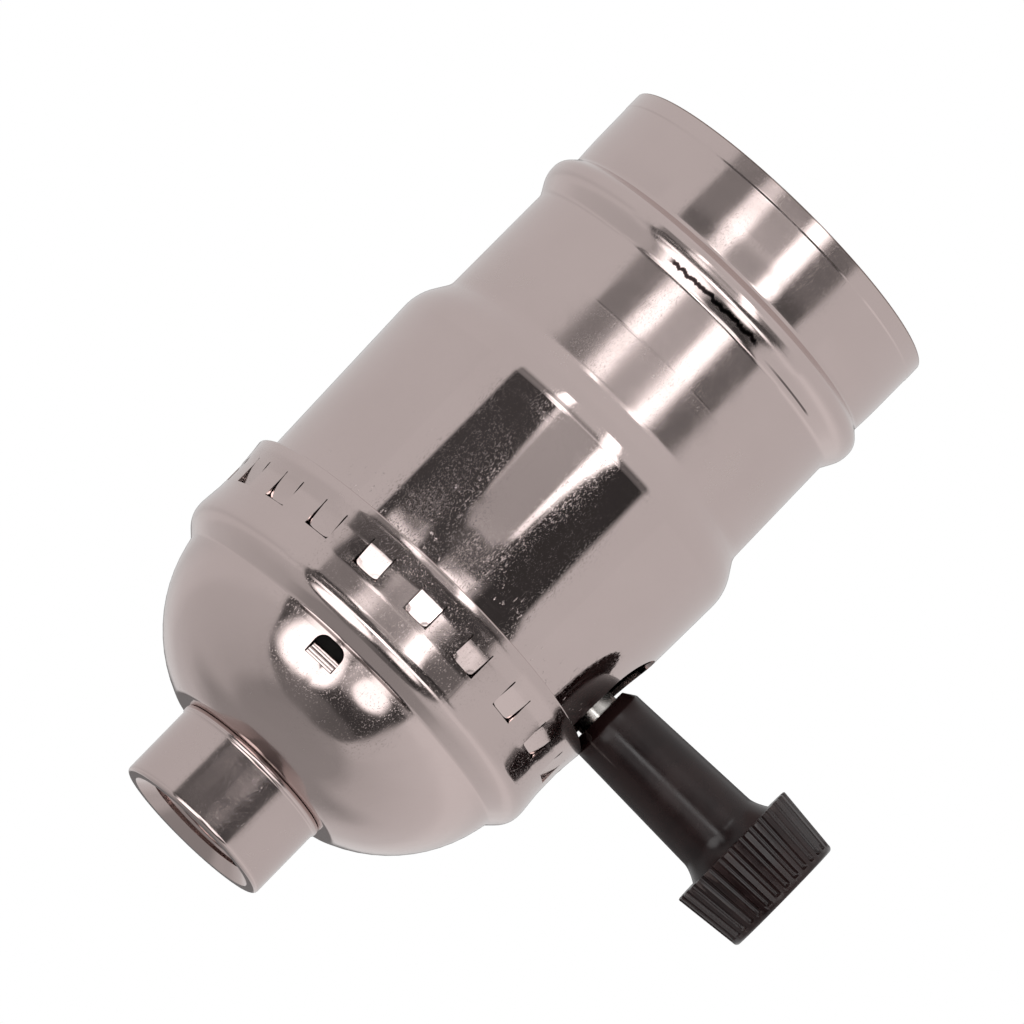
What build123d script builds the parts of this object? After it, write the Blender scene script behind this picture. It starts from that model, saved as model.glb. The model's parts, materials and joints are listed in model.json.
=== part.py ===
from build123d import *
import os
from math import atan2, cos, degrees, radians, sin, tan

# Turn-knob lamp holder for a medium-base bulb, in millimetres.
# +Z runs along the shell to its mouth, the knob points along +X, and the
# origin is the centre of the neck's bottom face.

# Running and seating clearances
slip = 0.05          # pin in its own hole, radial
spindle_fit = 0.06   # spindle in its bushing, radial
seat_gap = 0.1       # loose pieces that lie in one another
free_gap = 0.3       # pieces that pass one another
moulded_fit = 0.02   # metal set in a moulding, radial
loose_hole = 0.15    # leaf on its rivet, radial

# Neck bushing, turned, with a female pipe thread for the lamp's tube
neck_radius = 7.2
neck_length = 7.3
neck_edge = 0.5
neck_thread_radius = 5.145
neck_collar_step = 0.14
neck_collar_height = 0.55
countersink_radius = 6.2
countersink_depth = 0.9
spigot_radius = 6.0
stake_radius = 7.4
stake_height = 0.9
stake_chamfer = 0.3

# Cap, drawn from sheet: a flat seat, a dome, a fold and a pierced rim
cap_wall = 0.42
cap_seat_radius = 8.6
cap_corner_inset = 1.63
cap_corner_height = 2.93
cap_dome_inset = 1.39
cap_dome_height = 10.05
cap_fold_flare = 0.21
cap_fold_rise = 1.4
cap_fold_width = 1.25
cap_waist_drop = 1.9
cap_band_width = 2.5
cap_band_flare = 0.02
cap_rim_flare = 0.25
cap_rim_width = 2.4
cap_bends = [1.5, 13.0, 1.2, 1.7, 2.0, 3.0, 3.0]   # from the seat to the band

# Tongues pressed in round the cap's rim, and one larger one in the dome
tongue_count = 20
tongue_first_angle = 2.7
tongue_width = 2.35
tongue_height = 2.6
tongue_below_rim = 1.8
tongue_dip = 0.42
tongue_grip = 0.16        # from a tongue's tip to the shell's foot
tongue_slit = 0.12
lance_angle = -8.2
lance_width = 2.9
lance_height = 2.6
lance_base_height = 7.1
lance_cut_depth = 3.2
lance_step = 0.8          # how far each of the tab's two steps goes in
lance_tread_rise = 0.3
lance_riser_top = 1.0
lance_root = 0.2          # the tab's root runs this far into the dome's wall
lance_liner_margin = 0.6

# Outer shell, drawn from sheet
shell_wall = 0.42
shell_length = 50.5
shell_lap = 8.3
shell_foot_taper = 0.25
shell_waist_height = 9.9
shell_body_taper = 0.4
shell_shoulder_height = 25.87
shell_shoulder_rise = 2.5
shell_shoulder_step = 1.55
bead_height = 39.0
bead_taper = 0.1
bead_rise = 1.6
bead_width = 1.3
bead_fall = 1.0
bead_depth = 0.88
mouth_step = 0.15
mouth_crease = 0.1
mouth_crease_height = 2.2
lip_width = 1.6
lip_step = 0.05
lip_step_height = 0.15
shell_bends = [20.0, 4.5, 1.8, 1.0, 2.3, 1.2, 0.5, 2.0, 0.2, 0.2]   # from the foot to the lip
notch_radius = 4.6
notch_rise = 1.6          # from the knob's axis to the middle of the notch's arch
notch_angle = 86.0        # the shell sits turned a little on the cap, as photographed

# Fibre liner inside the shell
liner_room = 0.23         # between the liner and the shell above its shoulder
liner_wall = 0.7
liner_top_inset = 2.0
liner_notch_radius = 4.5

# Fibre lining of the cap
cap_liner_wall = 0.5
cap_liner_gap = 0.08

# Moulded base under the switch
base_drop = 1.15
base_thickness = 1.6
base_edge_gap = 0.45
base_plug_height = 4.7
wire_notch_width = 9.0

# Moulded switch housing
housing_room = 0.9        # between the housing and the liner
housing_height = 22.7
cavity_length = 18.0
cavity_width = 14.0
cavity_height = 19.7
terminal_width = 10.6
terminal_recess = 2.6     # from the housing's round side to its terminal flats
spindle_height = 12.3

# Moulded disc over the housing
disc_step = 0.2           # how much smaller its radius is than the housing's
disc_thickness = 3.4

# Screw shell, rolled from sheet for a medium bulb base
socket_wall = 0.4
socket_pitch = 3.629
socket_turns = 5
socket_facets = 8         # straight lengths in each turn of the rolled thread
socket_mean_radius = 12.81
socket_thread_depth = 0.46
socket_room = 0.83        # between the thread's crests and the liner
socket_flange_bore = 8.0
socket_foot = 1.4
socket_run_out = 1.2
socket_collar = 0.9
socket_lip = 0.35

# Strips and blades bent from flat metal
strip = 0.6
blade_width = 2.8
blade_thickness = 0.5
blade_gap = 0.15
terminal_plate_width = 9.0
terminal_plate_height = 12.8
terminal_screw_rise = 1.8
hot_run_height = 5.2
hot_blade_rise = 10.0
load_blade_reach = 3.0
load_foot_margin = 1.7
load_foot_half = 2.0

# Terminal screws
terminal_head_radius = 3.2
terminal_head_height = 1.9
terminal_head_round = 0.5
terminal_shank_radius = 1.6
terminal_shank_length = 3.2
screw_slot_width = 0.9
screw_slot_depth = 0.8

# Long rivets that hold the inside together
rivet_x = 3.3
rivet_margin = 1.2        # from the screw shell's bore in its floor to a rivet's axis
rivet_radius = 1.1
rivet_head_radius = 1.7
rivet_head_height = 0.8
rivet_head_round = 0.45   # share of a rivet head's height that is rounded

# Centre contact leaf and the rivet that carries it
leaf_width = 5.0
leaf_thickness = 0.4
leaf_foot = 3.0
leaf_pivot_x = 4.5
leaf_rise_length = 7.0
leaf_rise = 2.9
leaf_curl = 1.6
leaf_curl_drop = 0.64
leaf_bends = [0.8, 1.4]
contact_rivet_radius = 1.1
contact_rivet_head = 1.6
contact_rivet_head_height = 0.7
leaf_play = 0.35

# Rotor on the spindle's inner end, with a metal bar across its drum
drum_radius = 5.0
drum_length = 5.0
cam_flats = 6.4
cam_length = 4.0
cam_corner = 0.5
rotor_face_x = 3.0
rotor_stub_radius = 1.5
rotor_stub_length = 2.3
rotor_hub_radius = 2.4
bridge_width = 2.4
bridge_height = 3.0
blade_shift = 0.4         # from the drum's middle to the blades, along the knob's axis

# Detent spring under the cam
spring_thickness = 0.35
spring_width = 2.8
spring_half_span = 6.3

# Spindle and its bushing
spindle_radius = 2.0
spindle_seat = 2.7
spindle_flat = 1.4        # from the spindle's axis to its driving flat
spindle_collar_radius = 3.1
spindle_collar_width = 0.8
spindle_thread_radius = 1.75
spindle_thread_length = 10.0
bushing_radius = 3.2
bushing_flange_radius = 4.2
bushing_flange_width = 0.6
bushing_reach = 2.0

# Moulded knob and its brass insert
knob_stem_length = 13.3
knob_stem_root = 3.35
knob_stem_tip = 3.73
knob_chamfer_length = 1.0
knob_chamfer_depth = 0.65
knob_flare_length = 1.67
knob_flare_radius = 4.4
knob_flare_lag = 0.2      # how far the flare's middle sits towards the head
knob_flare_hollow = 0.15
knob_head_radius = 6.14
knob_head_tip_radius = 5.54
knob_head_length = 5.8
knob_end_chamfer = 0.25
knob_end_inset = 0.2
knob_dish_radius = 3.9
knob_dish_depth = 0.4
flute_count = 32
flute_radius = 0.34
flute_depth = 0.3
insert_radius = 2.6
insert_length = 10.6
insert_inset = 0.3

# Radii that follow from the sizes above, from the screw shell outwards
liner_bore_radius = socket_mean_radius + socket_wall + socket_thread_depth + socket_room
liner_radius = liner_bore_radius + liner_wall
housing_radius = liner_bore_radius - housing_room
disc_radius = housing_radius - disc_step
terminal_flat = housing_radius - terminal_recess
rivet_y = socket_flange_bore + rivet_margin
shell_neck_radius = liner_radius + liner_room + shell_wall + bead_taper
shell_body_radius = shell_neck_radius + shell_shoulder_step
shell_waist_radius = shell_body_radius - shell_body_taper
shell_foot_radius = shell_waist_radius - shell_foot_taper
mouth_radius = shell_neck_radius - mouth_step
cap_waist_radius = shell_foot_radius + tongue_grip + tongue_dip + cap_wall
cap_rim_radius = cap_waist_radius + cap_rim_flare
cap_fold_radius = cap_waist_radius + cap_fold_flare
cap_dome_radius = cap_fold_radius - cap_dome_inset
cap_corner_radius = cap_dome_radius - cap_corner_inset
knob_start_x = shell_waist_radius

# Heights that follow from the sizes above
cap_z = neck_length
dome_top_z = cap_z + cap_dome_height
fold_z = dome_top_z + cap_fold_rise
waist_z = fold_z + cap_fold_width + cap_waist_drop
band_z = waist_z + cap_band_width
rim_z = band_z + cap_rim_width
shell_z = rim_z - shell_lap
base_z = dome_top_z - base_drop
housing_z = base_z + base_thickness
housing_top_z = housing_z + housing_height
spindle_z = housing_z + spindle_height
disc_top_z = housing_top_z + disc_thickness
mouth_z = shell_z + shell_length
liner_bottom_z = housing_z + free_gap
liner_top_z = mouth_z - liner_top_inset
wall_x = cavity_length / 2
drum_end_x = rotor_face_x - cam_length - drum_length
blade_x = drum_end_x + drum_length / 2 + blade_shift
knob_end_x = (knob_start_x + knob_stem_length + knob_flare_length
              + knob_head_length + knob_end_chamfer)


def rounded_line(points, radii):
    """Open outline with a rounded corner at each inner point, limited by its two legs."""
    legs = [Vector(*b) - Vector(*a) for a, b in zip(points, points[1:])]
    turns = [radians(a.get_angle(b)) for a, b in zip(legs, legs[1:])]
    reach = [radius * tan(turn / 2) for radius, turn in zip(radii, turns)]
    reach = [0] + reach + [0]
    for i, leg in enumerate(legs):
        total = reach[i] + reach[i + 1]
        if total > 0.98 * leg.length:
            share = 0.98 * leg.length / total
            reach[i] *= share
            reach[i + 1] *= share
    fitted = [length / tan(turn / 2) for length, turn in zip(reach[1:-1], turns)]
    return FilletPolyline(*points, radius=fitted)


def sheet_section(line, wall):
    """Section of a sheet whose outer face is the line, read from the bottom up."""
    return make_face(line.offset_2d(wall, Kind.INTERSECTION, Side.LEFT, True).edges())


def turned(section):
    """Solid of revolution about the holder's axis from an X-Y section, X the radius."""
    return revolve(Plane.XZ * section, Axis.Z)


def along_knob(section):
    """Solid of revolution about the knob's axis from a section, X the place along it."""
    placed = Plane(origin=(0, 0, spindle_z), x_dir=(1, 0, 0), z_dir=(0, -1, 0)) * section
    return revolve(placed, Axis((0, 0, spindle_z), (1, 0, 0)))


def block(x0, x1, y0, y1, z0, z1):
    """Box between two corners."""
    return Pos((x0 + x1) / 2, (y0 + y1) / 2, (z0 + z1) / 2) * Box(x1 - x0, y1 - y0, z1 - z0)


def post(radius, x, y, z0, z1):
    """Upright cylinder between two heights."""
    return Pos(x, y, (z0 + z1) / 2) * Cylinder(radius, z1 - z0)


def rod(radius, x0, x1):
    """Cylinder on the knob's axis between two places along it."""
    return Pos((x0 + x1) / 2, 0, spindle_z) * Rot(0, 90, 0) * Cylinder(radius, x1 - x0)


def cross_rod(radius, y0, y1, z):
    """Cylinder along Y at a height on the holder's axis."""
    return Pos(0, (y0 + y1) / 2, z) * Rot(90, 0, 0) * Cylinder(radius, abs(y1 - y0))


def facing(angle):
    """Turn that brings +X to the given angle from the front, towards the knob."""
    return Rot(0, 0, angle - 90)


def cap_line():
    """Outer face of the cap from its hole to its rim."""
    points = [
        (spigot_radius + slip, cap_z),
        (cap_seat_radius, cap_z),
        (cap_corner_radius, cap_z + cap_corner_height),
        (cap_dome_radius, dome_top_z),
        (cap_fold_radius, fold_z),
        (cap_fold_radius, fold_z + cap_fold_width),
        (cap_waist_radius, waist_z),
        (cap_waist_radius + cap_band_flare, band_z),
        (cap_rim_radius, rim_z),
    ]
    return rounded_line(points, cap_bends)


def make_neck_bushing():
    """Turned bushing: threaded bore, countersunk mouth, collar, spigot staked over in the cap."""
    collar_radius = neck_radius + neck_collar_step
    inner_z = cap_z + cap_wall
    outline = Polyline(
        (neck_thread_radius, countersink_depth),
        (countersink_radius, 0),
        (neck_radius - neck_edge, 0),
        (neck_radius - 0.3 * neck_edge, 0.3 * neck_edge),
        (neck_radius, neck_edge),
        (neck_radius, cap_z - neck_collar_height - neck_collar_step),
        (collar_radius, cap_z - neck_collar_height),
        (collar_radius, cap_z - neck_collar_step),
        (collar_radius - neck_collar_step, cap_z),
        (spigot_radius, cap_z),
        (spigot_radius, inner_z),
        (stake_radius, inner_z),
        (stake_radius - stake_chamfer, inner_z + stake_height),
        (neck_thread_radius, inner_z + stake_height),
        close=True,
    )
    return turned(make_face(outline))


def tongue_window(angle):
    """Three-sided opening that one rim tongue is pressed in from."""
    top = rim_z - tongue_below_rim
    width = tongue_width + 2 * tongue_slit
    inner = cap_waist_radius - 3 * cap_wall
    cut = block(inner, cap_rim_radius + cap_wall, -width / 2, width / 2, top - tongue_height, top)
    return facing(angle) * cut


def rim_tongue(angle):
    """Tongue that hangs from the top of its window and leans in at its free end."""
    top = rim_z - tongue_below_rim
    foot = top - tongue_height + tongue_slit
    outer = cap_waist_radius
    section = Polyline(
        (outer, top),
        (outer - tongue_dip, foot),
        (outer - tongue_dip - cap_wall, foot),
        (outer - cap_wall, top),
        close=True,
    )
    plate = extrude(Plane.XZ * make_face(section), tongue_width / 2, both=True)
    return facing(angle) * plate


def make_cap():
    """Drawn cap with its rim tongues and the lanced tab in the dome."""
    cap = turned(sheet_section(cap_line(), cap_wall))
    angles = [tongue_first_angle + i * 360 / tongue_count for i in range(tongue_count)]
    cap -= [tongue_window(angle) for angle in angles]
    cap += [rim_tongue(angle) for angle in angles]
    foot_z = cap_z + lance_base_height
    half = lance_width / 2
    arch = Rectangle(lance_width, lance_height - half / 2, align=(Align.CENTER, Align.MIN))
    arch += Pos(0, lance_height - half) * Circle(half)
    side = Plane(origin=(cap_dome_radius + 1, 0, foot_z), x_dir=(0, 1, 0), z_dir=(-1, 0, 0))
    window = extrude(side * arch, lance_cut_depth)
    cap -= facing(lance_angle) * window
    return cap + facing(lance_angle) * lanced_tab(foot_z)


def dome_inner_radius(z):
    """Radius of the dome's inner face at a height."""
    section = sheet_section(cap_line(), cap_wall)
    probe = section.intersect(Pos(0, z) * Rectangle(4 * cap_rim_radius, 0.002))
    return min(v.X for v in probe.vertices())


def lanced_tab(foot_z):
    """Stepped tab bent in from the lower edge of the dome's opening."""
    root = dome_inner_radius(foot_z)
    tread_z = foot_z + lance_tread_rise
    riser_z = foot_z + lance_riser_top
    first, second = root - lance_step, root - 2 * lance_step
    lean = lance_tread_rise / 3
    section = Polyline(
        (root + lance_root, foot_z),
        (first, tread_z),
        (first - lean, riser_z),
        (second, riser_z + lean),
        (second, riser_z + lean + cap_wall),
        (first + lance_tread_rise - lean / 2, riser_z + cap_wall),
        (first + lance_tread_rise, tread_z + cap_wall),
        (root + lance_root, foot_z + cap_wall),
        close=True,
    )
    half = lance_width / 2 - tongue_slit
    return extrude(Plane.XZ * make_face(section), half, both=True)


def shell_line():
    """Outer face of the shell from its foot to the mouth."""
    shoulder_z = shell_z + shell_shoulder_height
    bead_z = shell_z + bead_height
    crest = shell_neck_radius - bead_taper + bead_depth
    bead_end_z = bead_z + bead_rise + bead_width + bead_fall
    points = [
        (shell_foot_radius, shell_z),
        (shell_waist_radius, shell_z + shell_waist_height),
        (shell_body_radius, shoulder_z),
        (shell_neck_radius, shoulder_z + shell_shoulder_rise),
        (shell_neck_radius - bead_taper, bead_z),
        (crest, bead_z + bead_rise),
        (crest, bead_z + bead_rise + bead_width),
        (mouth_radius - mouth_crease, bead_end_z),
        (mouth_radius, bead_end_z + mouth_crease_height),
        (mouth_radius + 0.4 * lip_step, mouth_z - lip_width),
        (mouth_radius + lip_step, mouth_z - lip_width + lip_step_height),
        (mouth_radius + 0.8 * lip_step, mouth_z),
    ]
    return rounded_line(points, shell_bends)


def knob_notch(radius, rise, outer_x, bottom_z):
    """Arched notch above the knob's axis, open at the bottom so that the shell lifts off."""
    slot = block(0, outer_x, -radius, radius, bottom_z, spindle_z + rise)
    return slot + Pos(0, 0, rise) * rod(radius, 0, outer_x)


def make_outer_shell():
    """Drawn shell with its shoulder, rolled bead, lip and knob notch."""
    shell = turned(sheet_section(shell_line(), shell_wall))
    notch = knob_notch(notch_radius, notch_rise, shell_body_radius + 2, shell_z - 1)
    return shell - facing(notch_angle) * notch


def make_shell_liner():
    """Fibre tube inside the shell, notched round the spindle."""
    tube = post(liner_radius, 0, 0, liner_bottom_z, liner_top_z)
    tube -= post(liner_radius - liner_wall, 0, 0, liner_bottom_z, liner_top_z)
    return tube - knob_notch(liner_notch_radius, 0, liner_radius + 2, liner_bottom_z - 1)


def make_cap_liner():
    """Fibre cup that lines the dome, up to the base."""
    line = cap_line()
    near = cap_wall + cap_liner_gap
    outer = sheet_section(line, near)
    cup = sheet_section(line, near + cap_liner_wall) - outer
    keep_from = stake_radius + free_gap
    keep = Pos(keep_from, cap_z) * Rectangle(
        cap_rim_radius, base_z - seat_gap - cap_z, align=(Align.MIN, Align.MIN))
    ring = turned(cup & keep)
    foot_z = cap_z + lance_base_height - lance_liner_margin
    gap = block(cap_corner_radius - lance_cut_depth, cap_rim_radius, -lance_width / 2 - free_gap,
                lance_width / 2 + free_gap, foot_z, base_z)
    return ring - facing(lance_angle) * gap


def rivet_places():
    """The two rivets stand across the corners of the housing."""
    return [(-rivet_x, rivet_y), (rivet_x, -rivet_y)]


def rivet_holes(z0, z1):
    """Clearance holes for the long rivets."""
    return [post(rivet_radius + slip, x, y, z0, z1) for x, y in rivet_places()]


def make_housing_base():
    """Moulded base: a disc in the cap and a plug that closes the switch's cavity."""
    radius = cap_dome_radius - cap_wall - base_edge_gap
    base = post(radius, 0, 0, base_z, housing_z)
    base += block(-wall_x + seat_gap, wall_x - seat_gap,
                  -cavity_width / 2 + seat_gap, cavity_width / 2 - seat_gap,
                  housing_z, housing_z + base_plug_height)
    for side in (-1, 1):
        y0, y1 = sorted((side * (terminal_flat + free_gap), side * (radius + 1)))
        base -= block(-wire_notch_width / 2, wire_notch_width / 2, y0, y1, base_z, housing_z)
    return base - rivet_holes(base_z, housing_z)


def make_switch_housing():
    """Moulded cup over the switch, flat where the terminals sit."""
    body = post(housing_radius, 0, 0, housing_z, housing_top_z)
    body -= block(-wall_x, wall_x, -cavity_width / 2, cavity_width / 2,
                  housing_z, housing_z + cavity_height)
    for side in (-1, 1):
        y0, y1 = sorted((side * terminal_flat, side * (housing_radius + 1)))
        body -= block(-terminal_width / 2, terminal_width / 2, y0, y1, housing_z, housing_top_z)
        deep = terminal_flat + strip - terminal_shank_length - seat_gap
        body -= cross_rod(terminal_shank_radius + slip, side * deep, side * housing_radius,
                          terminal_z())
    body -= rod(bushing_radius + slip, 0, housing_radius + 1)
    body -= rod(rotor_stub_radius + slip, -wall_x - rotor_stub_length - seat_gap, 0)
    body -= rivet_holes(housing_z, housing_top_z)
    body -= post(contact_rivet_radius + slip, contact_rivet_x(), 0, spindle_z, housing_top_z)
    slit_z = housing_z + hot_run_height
    slit_x = blade_x - blade_width / 2 - seat_gap
    return body - block(slit_x, slit_x + blade_width + 2 * seat_gap, -housing_radius, 0,
                        slit_z - seat_gap, slit_z + strip + seat_gap)


def terminal_z():
    """Height of the terminal screws."""
    return housing_z + hot_run_height + terminal_plate_height / 2 + terminal_screw_rise


def contact_rivet_x():
    """Place of the centre contact's rivet, in the middle of the leaf's foot."""
    return -leaf_pivot_x - leaf_foot / 2


def neutral_tongue(grow):
    """Folded end of the neutral strap on the disc, or its recess when it is grown."""
    return block(-terminal_plate_width / 2 - grow, terminal_plate_width / 2 + grow,
                 socket_flange_bore - grow, terminal_flat + strip + grow,
                 disc_top_z - strip, disc_top_z + grow)


def make_upper_disc():
    """Moulded disc that carries the screw shell and the centre contact."""
    disc = post(disc_radius, 0, 0, housing_top_z, disc_top_z)
    for side in (-1, 1):
        y0, y1 = sorted((side * terminal_flat, side * (disc_radius + 1)))
        disc -= block(-terminal_width / 2, terminal_width / 2, y0, y1, housing_top_z, disc_top_z)
    disc -= neutral_tongue(seat_gap)
    disc -= post(contact_rivet_radius + slip, contact_rivet_x(), 0, housing_top_z, disc_top_z)
    return disc - rivet_holes(housing_top_z, disc_top_z)


def threaded_bar(radius, foot_z, collar_z):
    """Round bar whose centre runs in and out of a helix, in straight lengths."""
    thread_z = foot_z + socket_run_out
    centres = [(0, 0, foot_z)]
    for i in range(socket_facets * socket_turns + 1):
        turn = radians(360 * i / socket_facets)
        centres.append((socket_thread_depth * cos(turn), socket_thread_depth * sin(turn),
                        thread_z + socket_pitch * i / socket_facets))
    centres.append((0, 0, collar_z))
    return loft([Plane(origin=centre) * Circle(radius) for centre in centres], ruled=True)


def make_screw_shell():
    """Screw shell: a pierced floor, a round rolled thread and a turned-out lip."""
    outer = socket_mean_radius + socket_wall
    floor_z = disc_top_z + socket_wall
    foot_z = disc_top_z + socket_foot
    collar_z = foot_z + socket_pitch * socket_turns + 2 * socket_run_out
    cup = post(outer, 0, 0, disc_top_z, foot_z)
    cup -= post(socket_mean_radius, 0, 0, floor_z, foot_z)
    cup -= post(socket_flange_bore, 0, 0, disc_top_z, floor_z)
    cup -= rivet_holes(disc_top_z, floor_z)
    thread = threaded_bar(outer, foot_z, collar_z)
    thread -= threaded_bar(socket_mean_radius, foot_z, collar_z)
    lip = turned(make_face(Polyline(
        (socket_mean_radius, collar_z),
        (outer, collar_z),
        (outer, collar_z + socket_collar),
        (outer + socket_lip, collar_z + socket_collar + socket_lip),
        (socket_mean_radius + socket_lip, collar_z + socket_collar + 2 * socket_lip),
        (socket_mean_radius, collar_z + socket_collar + socket_lip / 2),
        close=True,
    )))
    return cup + thread + lip


def make_body_rivets():
    """Long rivets from under the base to the floor of the screw shell."""
    floor_z = disc_top_z + socket_wall
    rivets = []
    for x, y in rivet_places():
        shank = post(rivet_radius, x, y, base_z, floor_z)
        foot = post(rivet_head_radius, x, y, base_z - rivet_head_height, base_z)
        head = post(rivet_head_radius, x, y, floor_z, floor_z + rivet_head_height)
        head = fillet(head.edges().group_by(Axis.Z)[-1], rivet_head_round * rivet_head_height)
        rivets.append(foot + shank + head)
    return Compound(children=rivets)


def make_centre_contact():
    """Springy leaf: a riveted foot, a rising arm and a curled tip under the bulb."""
    z = disc_top_z
    tip_x = leaf_rise_length - leaf_pivot_x
    line = rounded_line(
        [
            (-leaf_pivot_x - leaf_foot, z),
            (-leaf_pivot_x, z),
            (tip_x, z + leaf_rise),
            (tip_x + leaf_curl, z + leaf_rise - leaf_curl_drop),
        ],
        leaf_bends,
    )
    leaf = extrude(Plane.XZ * sheet_section(line, leaf_thickness), leaf_width / 2, both=True)
    hole = post(contact_rivet_radius + loose_hole, contact_rivet_x(), 0, z, z + leaf_thickness)
    return leaf - hole


def make_contact_rivet():
    """Rivet through disc and housing roof, from the leaf's foot to the load blade."""
    x = contact_rivet_x()
    roof_z = housing_z + cavity_height
    head_z = disc_top_z + leaf_thickness + leaf_play
    foot_z = roof_z - blade_thickness
    shank = post(contact_rivet_radius, x, 0, foot_z, head_z)
    head = post(contact_rivet_head, x, 0, head_z, head_z + contact_rivet_head_height)
    rounding = rivet_head_round * contact_rivet_head_height
    head = fillet(head.edges().group_by(Axis.Z)[-1], rounding)
    return shank + head + post(contact_rivet_head, x, 0, foot_z - contact_rivet_head_height, foot_z)


def make_neutral_strap():
    """Neutral terminal plate, folded in under the screw shell's floor."""
    foot_z = housing_z + hot_run_height
    half = terminal_plate_width / 2
    strap = block(-half, half, terminal_flat, terminal_flat + strip, foot_z, disc_top_z)
    strap += neutral_tongue(0)
    strap -= cross_rod(terminal_shank_radius + slip, terminal_flat, terminal_flat + strip,
                       terminal_z())
    return strap - rivet_holes(disc_top_z - strip, disc_top_z)


def make_hot_strap():
    """Hot terminal plate, bent in through the housing's slit and up beside the drum."""
    foot_z = housing_z + hot_run_height
    half = terminal_plate_width / 2
    face_y = -terminal_flat
    blade_y = -drum_radius - blade_gap
    x0, x1 = blade_x - blade_width / 2, blade_x + blade_width / 2
    plate_x0 = min(-half, x0)
    strap = block(plate_x0, half, face_y - strip, face_y, foot_z, foot_z + terminal_plate_height)
    strap += block(x0, x1, face_y - strip, blade_y, foot_z, foot_z + strip)
    strap += block(x0, x1, blade_y - blade_thickness, blade_y, foot_z, foot_z + hot_blade_rise)
    return strap - cross_rod(terminal_shank_radius + slip, face_y - strip, face_y, terminal_z())


def make_load_blade():
    """Contact blade that hangs from the housing's roof beside the drum."""
    roof_z = housing_z + cavity_height
    blade_y = drum_radius + blade_gap
    x0, x1 = blade_x - blade_width / 2, blade_x + blade_width / 2
    rivet_x0 = contact_rivet_x()
    blade = block(rivet_x0 - load_foot_margin, x1, -load_foot_half, blade_y,
                  roof_z - blade_thickness, roof_z)
    blade += block(x0, x1, blade_y, blade_y + blade_thickness, spindle_z - load_blade_reach,
                   roof_z)
    return blade - post(contact_rivet_radius + slip, rivet_x0, 0, roof_z - blade_thickness, roof_z)


def make_terminal_screw(side):
    """Slotted binding screw on one of the terminal plates."""
    face = terminal_flat + strip
    head = cross_rod(terminal_head_radius, side * face, side * (face + terminal_head_height),
                     terminal_z())
    outer_rim = head.edges().group_by(Axis.Y)[-1 if side > 0 else 0]
    head = fillet(outer_rim, terminal_head_round)
    shank = cross_rod(terminal_shank_radius, side * (face - terminal_shank_length), side * face,
                      terminal_z())
    top = face + terminal_head_height
    y0, y1 = sorted((side * (top - screw_slot_depth), side * (top + 1)))
    slot = block(-terminal_head_radius, terminal_head_radius, y0, y1,
                 terminal_z() - screw_slot_width / 2, terminal_z() + screw_slot_width / 2)
    return head + shank - slot


def spindle_end(grow):
    """Inner end of the spindle with a flat that drives the rotor, or its hole when grown."""
    end = rod(spindle_radius + grow, rotor_face_x - spindle_seat - grow, rotor_face_x)
    flat = spindle_z + spindle_flat + grow
    return end - block(-wall_x, wall_x, -spindle_radius - 1, spindle_radius + 1, flat,
                       flat + spindle_radius)


def rotor_bridge(grow):
    """Metal bar across the drum that joins the two blades, or its slot when grown."""
    half = bridge_width / 2 + grow
    bar = block(blade_x - half, blade_x + half, -drum_radius - 1, drum_radius + 1,
                spindle_z - bridge_height / 2 - grow, spindle_z + bridge_height / 2 + grow)
    return bar & rod(drum_radius + grow, blade_x - half, blade_x + half)


def make_rotor():
    """Moulded rotor: bearing stub, hub, drum and square detent cam."""
    drum_x = drum_end_x + drum_length
    rotor = rod(drum_radius, drum_end_x, drum_x)
    square = RectangleRounded(cam_flats, cam_flats, cam_corner)
    cam_plane = Plane(origin=(drum_x, 0, spindle_z), x_dir=(0, 1, 0), z_dir=(1, 0, 0))
    rotor += extrude(cam_plane * square, cam_length)
    shoulder_x = -wall_x + seat_gap
    rotor += rod(rotor_hub_radius, shoulder_x, drum_end_x)
    rotor += rod(rotor_stub_radius, -wall_x - rotor_stub_length, shoulder_x)
    return rotor - spindle_end(moulded_fit) - rotor_bridge(moulded_fit)


def make_rotor_bridge():
    """Metal bar set across the drum."""
    return rotor_bridge(0)


def make_detent_spring():
    """Bowed leaf on the base's plug that bears on the cam's flat."""
    foot_z = housing_z + base_plug_height
    top_z = spindle_z - cam_flats / 2 - slip
    rise = top_z - foot_z
    bow = (spring_half_span ** 2 + rise ** 2) / (2 * rise)
    arc = Circle(bow) - Circle(bow - spring_thickness)
    arc = Pos(0, top_z - bow) * arc
    window = Pos(0, foot_z) * Rectangle(4 * spring_half_span, 2 * rise,
                                        align=(Align.CENTER, Align.MIN))
    x0 = rotor_face_x - cam_length / 2 - spring_width / 2
    plane = Plane(origin=(x0, 0, 0), x_dir=(0, 1, 0), z_dir=(1, 0, 0))
    return extrude(plane * (arc & window), spring_width)


def make_spindle():
    """Turned spindle: driving end, collar, journal and a thread for the knob."""
    collar_x = bushing_inner_x() - slip - spindle_collar_width
    thread_x = knob_start_x + insert_inset
    spindle = spindle_end(0) + rod(spindle_radius, rotor_face_x, thread_x)
    spindle += rod(spindle_collar_radius, collar_x, collar_x + spindle_collar_width)
    threaded = rod(spindle_thread_radius, thread_x, thread_x + spindle_thread_length)
    return spindle + threaded


def bushing_inner_x():
    """Inner face of the bushing's flange, against the cavity's wall."""
    return wall_x - bushing_flange_width


def make_spindle_bushing():
    """Brass bushing in the housing's wall, with its flange inside."""
    reach = housing_radius + bushing_reach
    bushing = rod(bushing_radius, wall_x, reach)
    bushing += rod(bushing_flange_radius, bushing_inner_x(), wall_x)
    return bushing - rod(spindle_radius + spindle_fit, 0, reach + 1)


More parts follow.
